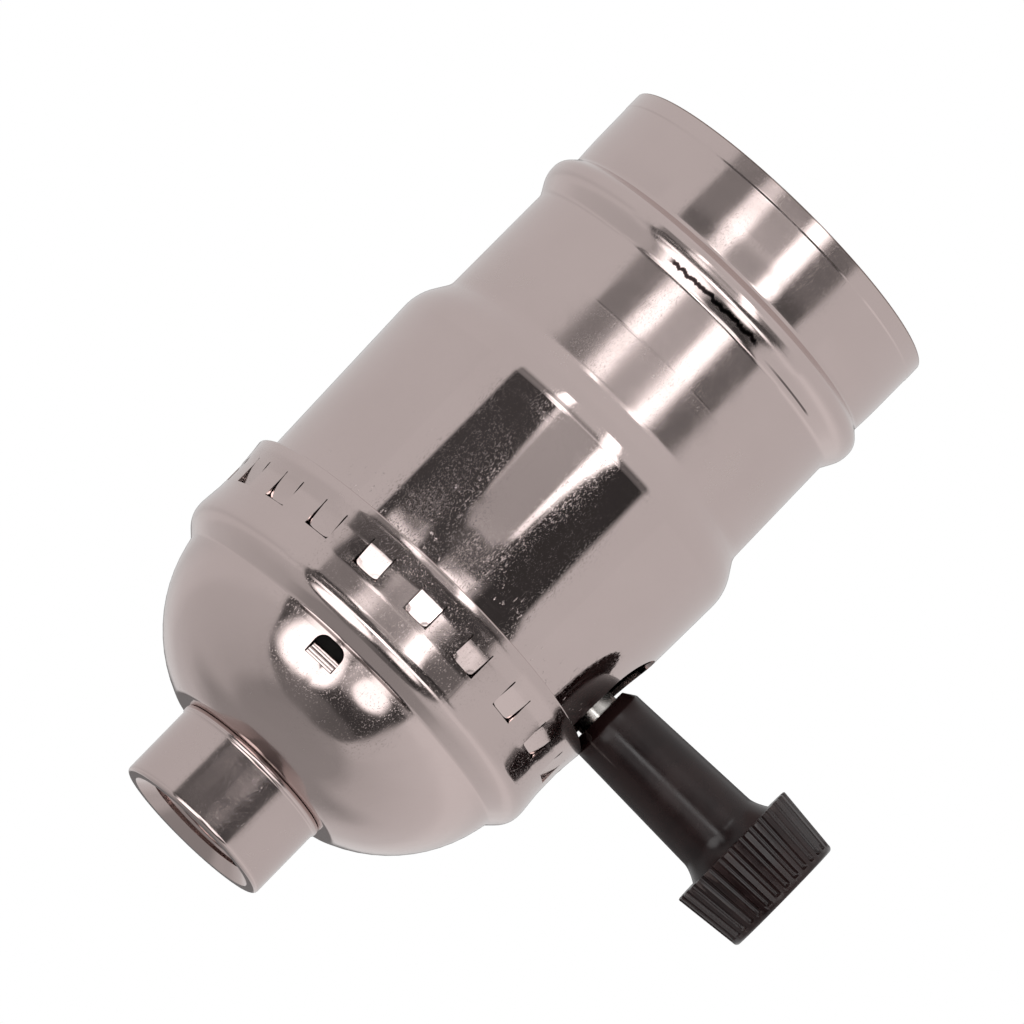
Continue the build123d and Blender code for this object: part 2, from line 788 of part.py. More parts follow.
def flute(angle):
    """One groove along the tapered side of the knob's head."""
    head_x = knob_start_x + knob_stem_length + knob_flare_length
    slope = degrees(atan2(knob_head_radius - knob_head_tip_radius, knob_head_length))
    middle = (knob_head_radius + knob_head_tip_radius) / 2 + flute_radius - flute_depth
    groove = Rot(0, slope, 0) * Rot(0, 90, 0) * Cylinder(flute_radius, 2 * knob_head_length)
    placed = Pos(head_x + knob_head_length / 2, 0, middle) * groove
    return Pos(0, 0, spindle_z) * Rot(angle, 0, 0) * placed


def make_knob():
    """Moulded knob: chamfered stem, flare, fluted head and a dished end."""
    stem_x = knob_start_x + knob_stem_length
    head_x = stem_x + knob_flare_length
    tip_x = head_x + knob_head_length
    flare = ThreePointArc(
        (stem_x, knob_stem_tip),
        ((stem_x + head_x) / 2 + knob_flare_lag,
         (knob_stem_tip + knob_flare_radius) / 2 - knob_flare_hollow),
        (head_x, knob_flare_radius),
    )
    before = Polyline(
        (knob_start_x, 0),
        (knob_start_x, knob_stem_root - knob_chamfer_depth),
        (knob_start_x + knob_chamfer_length, knob_stem_root),
        (stem_x, knob_stem_tip),
    )
    after = Polyline(
        (head_x, knob_flare_radius),
        (head_x, knob_head_radius),
        (tip_x, knob_head_tip_radius),
        (knob_end_x, knob_head_tip_radius - knob_end_inset),
        (knob_end_x, knob_dish_radius),
        (knob_end_x - knob_dish_depth, knob_dish_radius - knob_dish_depth),
        (knob_end_x - knob_dish_depth, 0),
        (knob_start_x, 0),
    )
    knob = along_knob(make_face(before.edges() + flare.edges() + after.edges()))
    knob -= [flute(i * 360 / flute_count) for i in range(flute_count)]
    hole_end = knob_start_x + insert_inset + insert_length
    return knob - rod(insert_radius + moulded_fit, knob_start_x, hole_end)


def make_knob_insert():
    """Threaded brass insert moulded in the knob's stem."""
    x0 = knob_start_x + insert_inset
    insert = rod(insert_radius, x0, x0 + insert_length)
    return insert - rod(spindle_thread_radius + moulded_fit, x0, x0 + insert_length)


pieces = {
    "outer_shell": make_outer_shell(),
    "shell_liner": make_shell_liner(),
    "cap": make_cap(),
    "neck_bushing": make_neck_bushing(),
    "cap_liner": make_cap_liner(),
    "housing_base": make_housing_base(),
    "switch_housing": make_switch_housing(),
    "upper_disc": make_upper_disc(),
    "screw_shell": make_screw_shell(),
    "centre_contact": make_centre_contact(),
    "contact_rivet": make_contact_rivet(),
    "body_rivets": make_body_rivets(),
    "neutral_strap": make_neutral_strap(),
    "neutral_screw": make_terminal_screw(1),
    "hot_strap": make_hot_strap(),
    "hot_screw": make_terminal_screw(-1),
    "load_blade": make_load_blade(),
    "rotor": make_rotor(),
    "rotor_bridge": make_rotor_bridge(),
    "detent_spring": make_detent_spring(),
    "spindle": make_spindle(),
    "spindle_bushing": make_spindle_bushing(),
    "knob": make_knob(),
    "knob_insert": make_knob_insert(),
}

os.makedirs("parts", exist_ok=True)
for node, piece in pieces.items():
    export_step(piece, f"parts/{node}.step")
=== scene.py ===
import json
from math import cos, degrees, hypot, pi, radians, sin, sqrt, tan

import bpy
from mathutils import Matrix, Vector


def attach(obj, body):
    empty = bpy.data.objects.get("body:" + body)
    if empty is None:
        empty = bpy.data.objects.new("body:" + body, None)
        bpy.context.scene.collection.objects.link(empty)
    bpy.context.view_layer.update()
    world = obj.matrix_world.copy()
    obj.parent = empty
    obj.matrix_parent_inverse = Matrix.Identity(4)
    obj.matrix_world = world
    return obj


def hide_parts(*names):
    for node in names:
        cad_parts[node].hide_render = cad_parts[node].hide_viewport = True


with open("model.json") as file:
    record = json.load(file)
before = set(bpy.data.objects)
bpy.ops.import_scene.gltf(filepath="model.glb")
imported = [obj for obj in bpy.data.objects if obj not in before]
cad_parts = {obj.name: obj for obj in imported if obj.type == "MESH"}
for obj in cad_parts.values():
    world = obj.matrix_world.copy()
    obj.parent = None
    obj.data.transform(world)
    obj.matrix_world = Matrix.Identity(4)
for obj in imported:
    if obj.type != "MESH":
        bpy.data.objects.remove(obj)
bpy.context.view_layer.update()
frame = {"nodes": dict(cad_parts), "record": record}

# Sizes in millimetres, as in the part's source. Outlines are points of (radius, height), and
# places round the holder are in degrees from the front towards the knob.
MM = 0.001
WALL = 0.42          # sheet of the shell and the cap
SLIT = 0.12          # width of the cuts round a tongue
SPINDLE_Z = 30.1     # height of the knob's axis

# The shell, from its foot to its mouth, with a bend at each inner corner
SHELL_CORNERS = [(16.85, 18.5), (17.1, 28.4), (17.5, 44.37), (15.95, 46.87), (15.85, 57.5),
                 (16.73, 59.1), (16.73, 60.4), (15.7, 61.4), (15.8, 63.6), (15.82, 67.4),
                 (15.85, 67.55), (15.84, 69.0)]
SHELL_BENDS = [20.0, 4.5, 1.8, 1.0, 2.3, 1.2, 0.5, 35.0, 0.2, 0.2]
SHOULDER_FOOT_Z, SHOULDER_TOP_Z = 44.4, 46.0
MOUTH_Z, MOUTH_EDGE = 69.0, 0.14
DRAW_LINE_Z = 51.9   # faint line that the drawing die left
NOTCH_RADIUS, NOTCH_RISE = 4.6, 1.6
NOTCH_ANGLE, NOTCH_FOOT_Z = 86.0, 17.0

# The cap, from its seat on the neck to its rim
CAP_CORNERS = [(6.05, 7.3), (8.6, 7.3), (15.04, 10.23), (16.67, 17.35), (18.06, 18.75),
               (18.06, 20.0), (17.88, 21.9), (17.87, 24.4), (18.1, 26.8)]
CAP_BENDS = [1.5, 13.0, 0.6, 2.2, 2.0, 3.0, 3.0]
TONGUES, TONGUE_FIRST = 20, 2.7
TONGUE_TOP, TONGUE_FOOT = 25.0, 22.4
TONGUE_TIP = TONGUE_FOOT + SLIT
TONGUE_HALF, TONGUE_DIP, TONGUE_CORNER = 1.175, 0.42, 0.22
WINDOW_RADIUS = 17.86
LANCE_ANGLE, LANCE_Z, LANCE_RADIUS = -8.2, 14.75, 16.3
LANCE_WIDTH, LANCE_HEIGHT, LANCE_CORNER = 2.9, 2.1, 0.9
DIMPLE_Z, DIMPLE_DEPTH, DIMPLE_REACH = LANCE_Z + 1.1, 0.16, 3.6
LANCE_TAB = [(15.9, 0.0), (15.74, 0.0), (15.8, 0.15), (15.82, 0.29), (15.79, 0.43), (15.73, 0.57),
             (15.34, 0.66), (15.4, 0.81), (15.42, 0.94), (15.39, 1.08), (15.33, 1.2), (14.9, 1.3),
             (14.9, 0.96), (15.0, 0.92), (14.9, 0.42), (15.46, 0.3), (15.4, 0.0)]

# The neck, with a 27 to the inch pipe thread
NECK_SECTION = [(5.145, 0.9), (6.2, 0.0), (6.86, 0.0), (7.0, 0.03), (7.1, 0.09), (7.17, 0.19),
                (7.2, 0.34), (7.2, 0.56), (7.2, 3.5), (7.2, 6.5), (7.2, 6.56), (7.24, 6.65),
                (7.31, 6.73), (7.34, 6.84), (7.34, 7.0), (7.33, 7.06), (7.3, 7.16), (7.23, 7.25),
                (7.12, 7.3), (6.0, 7.3), (6.0, 7.72), (7.4, 7.72), (7.1, 8.62), (5.145, 8.62)]
THREAD_PITCH, THREAD_RADIUS, THREAD_DEPTH = 0.941, 5.145, 0.48
THREAD_START_Z, THREAD_END_Z = 1.0, 8.5
THREAD_CREST = 0.12  # share of a thread's width that is flat
THREAD_ROOT = 0.02   # how far its foot lies in the wall

# The screw shell
SOCKET_MEAN, SOCKET_WALL, SOCKET_DEPTH = 12.81, 0.4, 0.46
SOCKET_PITCH, SOCKET_TURNS, SOCKET_RUN_OUT = 3.629, 5, 1.2
SOCKET_BASE_Z, SOCKET_FLOOR_Z, SOCKET_FOOT_Z = 43.9, 44.3, 45.3
SOCKET_BORE, SOCKET_COLLAR, SOCKET_LIP = 8.0, 0.9, 0.35

# The knob: places along its axis, and its radius where nose, stem, flare and head begin
NOSE_X, STEM_X, FLARE_X, HEAD_X, TIP_X, END_X = 17.1, 18.1, 30.4, 32.07, 37.87, 38.12
NOSE_RADIUS, STEM_RADIUS, FLARE_RADIUS, NECK_RADIUS, HEAD_RADIUS = 2.7, 3.35, 3.73, 4.4, 6.13
NOSE_SLOPE, FLARE_POWER, HEAD_TAPER = 0.65, 1.6, 0.6
FLUTES, FLUTE_RADIUS, FLUTE_DEPTH = 32, 0.34, 0.3
FLUTE_PITCH_RADIUS = 5.84
DISH_DEPTH = 0.4


# Mesh code for sheet and turned pieces

def rounded_line(corners, bends, arc_step=5.0, run_step=2.5, run_end=0.08):
    """Points along an open outline whose inner corners are rounded, limited by their legs."""
    legs = [Vector(b) - Vector(a) for a, b in zip(corners, corners[1:])]
    turns = [legs[i].angle(legs[i + 1]) for i in range(len(legs) - 1)]
    reach = [0.0] + [bend * tan(turn / 2) for bend, turn in zip(bends, turns)] + [0.0]
    for i, leg in enumerate(legs):
        total = reach[i] + reach[i + 1]
        if total > 0.98 * leg.length:
            share = 0.98 * leg.length / total
            reach[i] *= share
            reach[i + 1] *= share
    line = [Vector(corners[0])]

    def run_to(point):
        start = line[-1]
        length = (point - start).length
        count = max(1, int(length / run_step))
        if length > 4 * run_end:
            line.append(start.lerp(point, run_end / length))
        for k in range(1, count):
            line.append(start.lerp(point, k / count))
        if length > 4 * run_end:
            line.append(start.lerp(point, 1 - run_end / length))
        line.append(point)

    for i, turn in enumerate(turns):
        corner = Vector(corners[i + 1])
        into, out = legs[i].normalized(), legs[i + 1].normalized()
        length = reach[i + 1]
        if turn < radians(0.1):
            run_to(corner)
            continue
        run_to(corner - into * length)
        bend = length / tan(turn / 2)
        inward = (out - into).normalized()
        centre = corner + inward * (bend / cos(turn / 2))
        first = corner - into * length - centre
        side = 1 if into.x * out.y - into.y * out.x > 0 else -1
        steps = max(2, int(degrees(turn) / arc_step) + 1)
        for k in range(1, steps + 1):
            angle = side * turn * k / steps
            line.append(centre + Vector((first.x * cos(angle) - first.y * sin(angle),
                                         first.x * sin(angle) + first.y * cos(angle))))
    run_to(Vector(corners[-1]))
    return line


def inner_line(line, wall):
    """The inside face of a sheet whose outside face is the line, read from the bottom up."""
    inside = []
    for i, point in enumerate(line):
        before = (point - line[i - 1]).normalized() if i > 0 else None
        after = (line[i + 1] - point).normalized() if i < len(line) - 1 else None
        before, after = before or after, after or before
        middle = (before + after).normalized()
        mitre = 1 / max(0.5, middle.dot(after))
        inside.append(point + Vector((-middle.y, middle.x)) * wall * mitre)
    return inside


def with_row(line, height):
    """The line with one more point where it passes a height."""
    for i in range(len(line) - 1):
        a, b = line[i], line[i + 1]
        if a.y < height - 1e-6 and b.y > height + 1e-6 and abs(b.x - a.x) < 1.0:
            return line[:i + 1] + [a.lerp(b, (height - a.y) / (b.y - a.y))] + line[i + 1:]
    return line


def nearest_row(line, height):
    """Which point of the line is nearest to a height."""
    return min(range(len(line)), key=lambda i: abs(line[i].y - height))


def round_point(radius, angle, z):
    """A point round the holder's axis, in metres."""
    return (radius * sin(radians(angle)) * MM, -radius * cos(radians(angle)) * MM, z * MM)


def smooth(piece, angle):
    """Smooth shading with sharp edges past an angle in degrees."""
    piece.data.polygons.foreach_set("use_smooth", [True] * len(piece.data.polygons))
    piece.data.set_sharp_from_angle(angle=radians(angle))
    piece.data.update()


def new_piece(name, verts, faces, smooth_angle=32.0):
    """Mesh object with smooth faces and sharp edges past an angle."""
    mesh = bpy.data.meshes.new(name)
    mesh.from_pydata(verts, [], faces)
    mesh.validate()
    piece = bpy.data.objects.new(name, mesh)
    bpy.context.collection.objects.link(piece)
    smooth(piece, smooth_angle)
    return piece


def ring_face(row, column, columns):
    """The face between a row and the next, in rows that run round the holder."""
    after = (column + 1) % columns
    low, high = row * columns, (row + 1) * columns
    return (low + column, low + after, high + after, high + column)


def closed_lathe(name, section, segments, smooth_angle=32.0):
    """Solid of revolution of a closed section that stays off the axis."""
    verts, faces = [], []
    count = len(section)
    for s in range(segments):
        verts += [round_point(r, 360 * s / segments, z) for r, z in section]
    for s in range(segments):
        a, b = s * count, (s + 1) % segments * count
        for i in range(count):
            j = (i + 1) % count
            faces.append((a + i, b + i, b + j, a + j))
    return new_piece(name, verts, faces, smooth_angle)


def thickened(outer, inner, faces):
    """Verts and faces of a sheet between two matching layers, with its cut edges closed."""
    shift = len(outer)
    edges = {(a, b) for face in faces for a, b in zip(face, face[1:] + face[:1])}
    walls = [(b, a, a + shift, b + shift) for a, b in sorted(edges) if (b, a) not in edges]
    inside = [tuple(v + shift for v in reversed(face)) for face in faces]
    return outer + inner, faces + inside + walls


def prism(name, outline, place):
    """Closed prism between the two ends that place gives for each point of a flat outline."""
    count = len(outline)
    verts = [place(u, v, end) for end in (0, 1) for u, v in outline]
    faces = [tuple(reversed(range(count))), tuple(range(count, 2 * count))]
    faces += [(i, (i + 1) % count, count + (i + 1) % count, count + i) for i in range(count)]
    return new_piece(name, verts, faces)


def cut(piece, cutter, smooth_angle=32.0):
    """Takes the cutter out of the piece and keeps the result as the piece's own mesh."""
    boolean = piece.modifiers.new("cut", "BOOLEAN")
    boolean.operation = "DIFFERENCE"
    boolean.solver = "EXACT"
    boolean.object = cutter
    view = bpy.context.evaluated_depsgraph_get()
    result = bpy.data.meshes.new_from_object(piece.evaluated_get(view), depsgraph=view)
    piece.modifiers.clear()
    piece.data = result
    bpy.data.objects.remove(cutter)
    smooth(piece, smooth_angle)


# The metal pieces

def make_shell_skin():
    """Drawn shell with its shoulder, bead, lip and the knob's notch."""
    line = rounded_line(SHELL_CORNERS, SHELL_BENDS)
    radius = SHELL_CORNERS[-1][0]
    edge = [(radius - MOUTH_EDGE * (1 - cos(radians(a))),
             MOUTH_Z - MOUTH_EDGE * (1 - sin(radians(a)))) for a in (0, 25, 50, 75, 90)]
    section = [tuple(p) for p in line[:-1]] + edge
    section += [tuple(p) for p in reversed(inner_line(line, WALL))]
    shell = closed_lathe("shell_skin", section, 288)
    arch = [(NOTCH_RADIUS, NOTCH_FOOT_Z)]
    arch += [(NOTCH_RADIUS * cos(radians(a)),
              SPINDLE_Z + NOTCH_RISE + NOTCH_RADIUS * sin(radians(a))) for a in range(0, 181, 5)]
    arch += [(-NOTCH_RADIUS, NOTCH_FOOT_Z)]
    turn = Matrix.Rotation(radians(NOTCH_ANGLE - 90), 3, "Z")
    cut(shell, prism("notch_cutter", arch,
                     lambda u, v, end: turn @ Vector(((8 + 14 * end) * MM, u * MM, v * MM))))
    return shell


def at_lance(radius, across, z):
    """A point before the dome's opening, at a distance across it."""
    x, y, z = round_point(radius, LANCE_ANGLE, LANCE_Z + z)
    turn = radians(LANCE_ANGLE)
    return (x + across * MM * cos(turn), y + across * MM * sin(turn), z)


def lance_dimple(angle, z):
    """How far the dome is drawn in at a place near its opening."""
    across = radians(angle - LANCE_ANGLE) * LANCE_RADIUS
    distance = hypot(across, (z - DIMPLE_Z) * 0.95)
    return DIMPLE_DEPTH * max(0.0, 1 - distance / DIMPLE_REACH) ** 2


def cap_layers():
    """The cap's outside and inside outlines, with rows for its tongues and a rounded rim."""
    line = rounded_line(CAP_CORNERS, CAP_BENDS, 5.0, 0.8)
    for height in (TONGUE_FOOT, TONGUE_TIP, TONGUE_TIP + 0.3, TONGUE_TIP + 0.8, TONGUE_TIP + 1.3,
                   TONGUE_TIP + 1.8, TONGUE_TOP):
        line = with_row(line, height)
    inside = inner_line(line, WALL)
    rim, top = line[-1]
    drops = (0.14, 0.05, 0.0)
    line[-2:] = [Vector((rim - x, top - z)) for x, z in zip((0.0, 0.03, 0.1), drops)]
    inside[-2:] = [Vector((rim - WALL + x, top - z)) for x, z in zip((0.0, 0.02, 0.06), drops)]
    return line, inside


def make_cap_skin():
    """Drawn cap whose rim tongues hang from the top of their windows and lean in."""
    line, inside = cap_layers()
    edge = degrees((TONGUE_HALF + SLIT) / WINDOW_RADIUS)
    side = degrees(TONGUE_HALF / WINDOW_RADIUS)
    offsets = [-9, -7.8, -6.6, -5.4, -edge, -side, -side * 0.82, -side * 0.5, -side * 0.2,
               side * 0.2, side * 0.5, side * 0.82, side, edge, 5.4, 6.6, 7.8]
    starts = [TONGUE_FIRST + 360 / TONGUES * t for t in range(TONGUES)]
    angles = [start + offset for start in starts for offset in offsets]
    columns, per = len(angles), len(offsets)
    outer, inner = [], []
    for out, under in zip(line, inside):
        for angle in angles:
            dip = lance_dimple(angle, out.y)
            outer.append(round_point(out.x - dip, angle, out.y))
            inner.append(round_point(under.x - dip, angle, under.y))
    low, high = nearest_row(line, TONGUE_FOOT), nearest_row(line, TONGUE_TOP)
    first, last = offsets.index(-edge), offsets.index(edge)
    faces = [ring_face(i, c, columns) for i in range(len(line) - 1) for c in range(columns)
             if not (low <= i < high and first <= c % per < last)]
    top = line[high]
    for t in range(TONGUES):
        above = [high * columns + t * per + c for c in range(first + 1, last)]
        for i in range(high - 1, low, -1):
            drop = (top.y - line[i].y) / (top.y - TONGUE_TIP)
            row = []
            for c in range(first + 1, last):
                corner = max(0.0, abs(offsets[c]) / side - 0.6) / 0.4
                z = line[i].y + (TONGUE_CORNER * corner ** 2 if i == low + 1 else 0.0)
                flat = top.x / cos(radians(offsets[c])) if drop > 0.05 else top.x
                radius = flat - TONGUE_DIP * drop ** 1.2
                row.append(len(outer))
                outer.append(round_point(radius, angles[t * per + c], z))
                inner.append(round_point(radius - WALL, angles[t * per + c], z))
            faces += [(row[k], row[k + 1], above[k + 1], above[k]) for k in range(len(row) - 1)]
            above = row
    cap = new_piece("cap_skin", *thickened(outer, inner, faces), 40.0)
    half = LANCE_WIDTH / 2
    arch = [(-half, 0.0), (half, 0.0)]
    for side, turns in ((1, range(0, 91, 15)), (-1, range(90, 181, 15))):
        arch += [(side * (half - LANCE_CORNER) + LANCE_CORNER * cos(radians(a)),
                  LANCE_HEIGHT - LANCE_CORNER + LANCE_CORNER * sin(radians(a))) for a in turns]
    cut(cap, prism("lance_cutter", arch, lambda u, v, end: at_lance(12.5 + 6.5 * end, u, v)), 40.0)
    return cap


def make_lance_tab():
    """Stepped tab bent in from the lower edge of the dome's opening."""
    half = LANCE_WIDTH / 2 - SLIT
    return prism("lance_tab", LANCE_TAB, lambda u, v, end: at_lance(u, (2 * end - 1) * half, v))


def make_neck_thread():
    """Pipe thread in the neck's bore, fading in and out over a turn."""
    verts, faces = [], []
    steps = 48
    total = int((THREAD_END_Z - THREAD_START_Z) / THREAD_PITCH * steps)
    root = THREAD_RADIUS + THREAD_ROOT
    for k in range(total + 1):
        turn = 360 * k / steps
        z = THREAD_START_Z + THREAD_PITCH * k / steps
        fade = min(1.0, k / steps, (total - k) / steps)
        crest = THREAD_RADIUS - THREAD_DEPTH * fade
        half = THREAD_PITCH * 0.5 * fade
        flat = half * THREAD_CREST
        verts += [round_point(root, turn, z - half), round_point(crest, turn, z - flat),
                  round_point(crest, turn, z + flat), round_point(root, turn, z + half)]
    for k in range(total):
        a, b = 4 * k, 4 * (k + 1)
        faces += [(a + i, a + i + 1, b + i + 1, b + i) for i in range(3)]
    return new_piece("neck_thread", verts, faces, 20.0)


def make_rolled_socket():
    """Screw shell with its round rolled thread, a pierced floor and a turned-out lip."""
    thread_z = SOCKET_FOOT_Z + SOCKET_RUN_OUT
    collar_z = thread_z + SOCKET_PITCH * SOCKET_TURNS + SOCKET_RUN_OUT
    outside = SOCKET_MEAN + SOCKET_WALL
    steps, columns = 20, 120
    path = [(0.0, 0.0, SOCKET_FOOT_Z)]
    for k in range(steps * SOCKET_TURNS + 1):
        turn = radians(360 * k / steps)
        path.append((SOCKET_DEPTH * cos(turn), SOCKET_DEPTH * sin(turn),
                     thread_z + SOCKET_PITCH * k / steps))
    path.append((0.0, 0.0, collar_z))
    lip_z = collar_z + SOCKET_COLLAR
    rows_out = [(0, 0, SOCKET_BASE_Z, SOCKET_BORE), (0, 0, SOCKET_BASE_Z, outside)]
    rows_out += [p + (outside,) for p in path]
    rows_out += [(0, 0, lip_z, outside), (0, 0, lip_z + SOCKET_LIP, outside + SOCKET_LIP)]
    rows_in = [(0, 0, SOCKET_FLOOR_Z, SOCKET_BORE), (0, 0, SOCKET_FLOOR_Z, SOCKET_MEAN)]
    rows_in += [p + (SOCKET_MEAN,) for p in path]
    rows_in += [(0, 0, lip_z + SOCKET_LIP / 2, SOCKET_MEAN),
                (0, 0, lip_z + SOCKET_LIP * 2, SOCKET_MEAN + SOCKET_LIP)]

    def layer(rows):
        return [((x + r * cos(2 * pi * c / columns)) * MM, (y + r * sin(2 * pi * c / columns)) * MM,
                 z * MM) for x, y, z, r in rows for c in range(columns)]

    faces = [ring_face(i, c, columns) for i in range(len(rows_out) - 1) for c in range(columns)]
    return new_piece("rolled_socket", *thickened(layer(rows_out), layer(rows_in), faces), 50.0)


# The knob

def knob_radius(x):
    """Radius of the knob before its head: a short nose, a slow taper and a flare."""
    if x < STEM_X:
        return NOSE_RADIUS + NOSE_SLOPE * (x - NOSE_X)
    if x < FLARE_X:
        return STEM_RADIUS + (FLARE_RADIUS - STEM_RADIUS) * (x - STEM_X) / (FLARE_X - STEM_X)
    share = (x - FLARE_X) / (HEAD_X - FLARE_X)
    return FLARE_RADIUS + (NECK_RADIUS - FLARE_RADIUS) * share ** FLARE_POWER


def knob_rows():
    """Rows of the knob as (place, radius, share of the flutes' depth)."""
    runs = [(NOSE_X + 0.1, 0.1, 9), (STEM_X + 1.08, 1.02, 11), (FLARE_X, 0.167, 11)]
    nose, stem, flare = [[(x0 + step * k, knob_radius(x0 + step * k), 0) for k in range(count)]
                         for x0, step, count in runs]
    rows = [(NOSE_X, 2.62, 0), (NOSE_X, 2.66, 0), (NOSE_X + 0.03, 2.74, 0)] + nose
    rows += [(STEM_X - 0.04, 3.31, 0), (STEM_X + 0.06, 3.355, 0)] + stem + flare
    rows += [(HEAD_X, 4.5, 0), (HEAD_X, 5.2, 0), (HEAD_X, 5.7, 0), (HEAD_X, 5.82, 0),
             (HEAD_X, 5.98, 1), (HEAD_X + 0.03, 6.08, 1), (HEAD_X + 0.1, HEAD_RADIUS, 1)]
    rows += [(HEAD_X + 0.1 + 0.6 * k, HEAD_RADIUS - 0.0617 * k, 1) for k in range(1, 9)]
    rows += [(TIP_X - 0.5, 5.592, 1), (TIP_X - 0.38, 5.578, 0.6), (TIP_X - 0.26, 5.566, 0),
             (TIP_X, 5.54, 0), (TIP_X + 0.1, 5.5, 0), (TIP_X + 0.18, 5.43, 0)]
    dish_x = END_X - DISH_DEPTH
    rows += [(END_X, 5.32, 0), (END_X, 4.4, 0), (END_X, 3.95, 0), (END_X - 0.04, 3.86, 0),
             (dish_x + 0.04, 3.54, 0), (dish_x, 3.44, 0), (dish_x, 1.6, 0), (dish_x, 0.02, 0)]
    return rows


def make_fluted_knob():
    """Moulded knob: stem, flare, head with moulded flutes and a dished end."""
    per = 16
    columns = FLUTES * per
    rows = knob_rows()
    verts, faces = [], []
    for x, radius, fluted in rows:
        taper = HEAD_TAPER * max(0.0, x - HEAD_X) / (TIP_X - HEAD_X)
        floor = HEAD_RADIUS + 0.01 - taper - FLUTE_DEPTH
        for c in range(columns):
            angle = 2 * pi * c / columns
            r = radius
            if fluted:
                off = abs((c + per / 2) % per - per / 2)
                reach = FLUTE_RADIUS ** 2 - (off / columns * 2 * pi * FLUTE_PITCH_RADIUS) ** 2
                groove = floor + FLUTE_RADIUS - sqrt(reach) if reach > 0 else radius
                r = radius - fluted * (radius - min(radius, groove))
            verts.append((x * MM, r * sin(angle) * MM, (SPINDLE_Z + r * cos(angle)) * MM))
    for i in range(len(rows) - 1):
        for c in range(columns):
            a, b, opposite, d = ring_face(i, c, columns)
            faces.append((a, d, opposite, b))
    return new_piece("fluted_knob", verts, faces, 38.0)


# Node helpers

def node(tree, kind, links=None, **settings):
    """A node whose inputs take the given sockets or values."""
    new = tree.nodes.new(kind)
    for key, value in settings.items():
        setattr(new, key, value)
    for key, value in (links or {}).items():
        if isinstance(value, bpy.types.NodeSocket):
            tree.links.new(value, new.inputs[key])
        else:
            new.inputs[key].default_value = value
    return new


def feed(tree, receiver, **values):
    """Links sockets to a node's inputs; underscores stand for spaces."""
    for key, value in values.items():
        tree.links.new(value, receiver.inputs[key.replace("_", " ")])


def calc(tree, operation, a, b=0.0, clamp=False):
    """The output of one Math node."""
    new = node(tree, "ShaderNodeMath", {0: a, 1: b}, operation=operation, use_clamp=clamp)
    return new.outputs[0]


def times(tree, *values):
    """The product of values."""
    product = values[0]
    for value in values[1:]:
        product = calc(tree, "MULTIPLY", product, value)
    return product


def weighted(tree, *terms):
    """The sum of values, each times its weight."""
    total = None
    for value, weight in terms:
        part = calc(tree, "MULTIPLY", value, weight)
        total = part if total is None else calc(tree, "ADD", total, part)
    return total


def ramp(tree, value, low, high, to_low=0.0, to_high=1.0, kind="SMOOTHSTEP"):
    """A smooth or straight change from one value to another."""
    links = {"Value": value, "From Min": low, "From Max": high, "To Min": to_low, "To Max": to_high}
    return node(tree, "ShaderNodeMapRange", links, interpolation_type=kind).outputs[0]


def strip_mask(tree, value, a, b, c, d):
    """1 between b and c, falling to 0 at a and d."""
    return times(tree, ramp(tree, value, a, b), ramp(tree, value, c, d, 1.0, 0.0))


def blend(tree, factor, a, b):
    """The colour output of a Mix node."""
    new = node(tree, "ShaderNodeMix", data_type="RGBA")
    for slot, value in ((0, factor), (6, a), (7, b)):
        if isinstance(value, bpy.types.NodeSocket):
            tree.links.new(value, new.inputs[slot])
        else:
            new.inputs[slot].default_value = value
    return new.outputs[2]


def object_place(tree):
    """The place on a piece, in its own coordinates in metres."""
    return node(tree, "ShaderNodeTexCoord").outputs["Object"]


def split(tree, place):
    """The X, Y and Z of a place."""
    return node(tree, "ShaderNodeSeparateXYZ", {0: place}).outputs


def holder_place(tree):
    """The X, Y and Z on the holder in millimetres."""
    links = {0: object_place(tree), "Scale": 1000.0}
    return split(tree, node(tree, "ShaderNodeVectorMath", links, operation="SCALE").outputs[0])


def noise(tree, scale, detail, place=None, **inputs):
    """The value of a noise texture, over the piece unless a place is given."""
    links = {"Vector": place or object_place(tree), "Scale": scale, "Detail": detail, **inputs}
    return node(tree, "ShaderNodeTexNoise", links).outputs[0]


def noise_along(tree, length, scale, detail):
    """The value of a noise texture along one length."""
    links = {"W": length, "Scale": scale, "Detail": detail}
    return node(tree, "ShaderNodeTexNoise", links, noise_dimensions="1D").outputs[0]


def bump(tree, bsdf, height, distance, strength=1.0, base=None):
    """Feeds a height to the shader's normal, its distance in millimetres."""
    links = {"Height": height, "Distance": distance * MM, "Strength": strength}
    if base is not None:
        links["Normal"] = base
    normal = node(tree, "ShaderNodeBump", links).outputs["Normal"]
    feed(tree, bsdf, Normal=normal)
    return normal


# Effects that the materials share, as node groups

def new_group(name, inputs, *outputs):
    """An empty shader node group with named inputs, their defaults and named outputs."""
    tree = bpy.data.node_groups.new(name, "ShaderNodeTree")
    kind = "NodeSocketFloat"
    for label, default in inputs.items():
        socket = tree.interface.new_socket(label, in_out="INPUT", socket_type=kind)
        socket.default_value = default
    for label in outputs:
        tree.interface.new_socket(label, in_out="OUTPUT", socket_type=kind)
    return tree, tree.nodes.new("NodeGroupInput").outputs, tree.nodes.new("NodeGroupOutput")


def use_group(tree, group, **values):
    """The outputs of a placed group."""
    new = node(tree, "ShaderNodeGroup", node_tree=group)
    for key, value in values.items():
        new.inputs[key].default_value = value
    return new.outputs


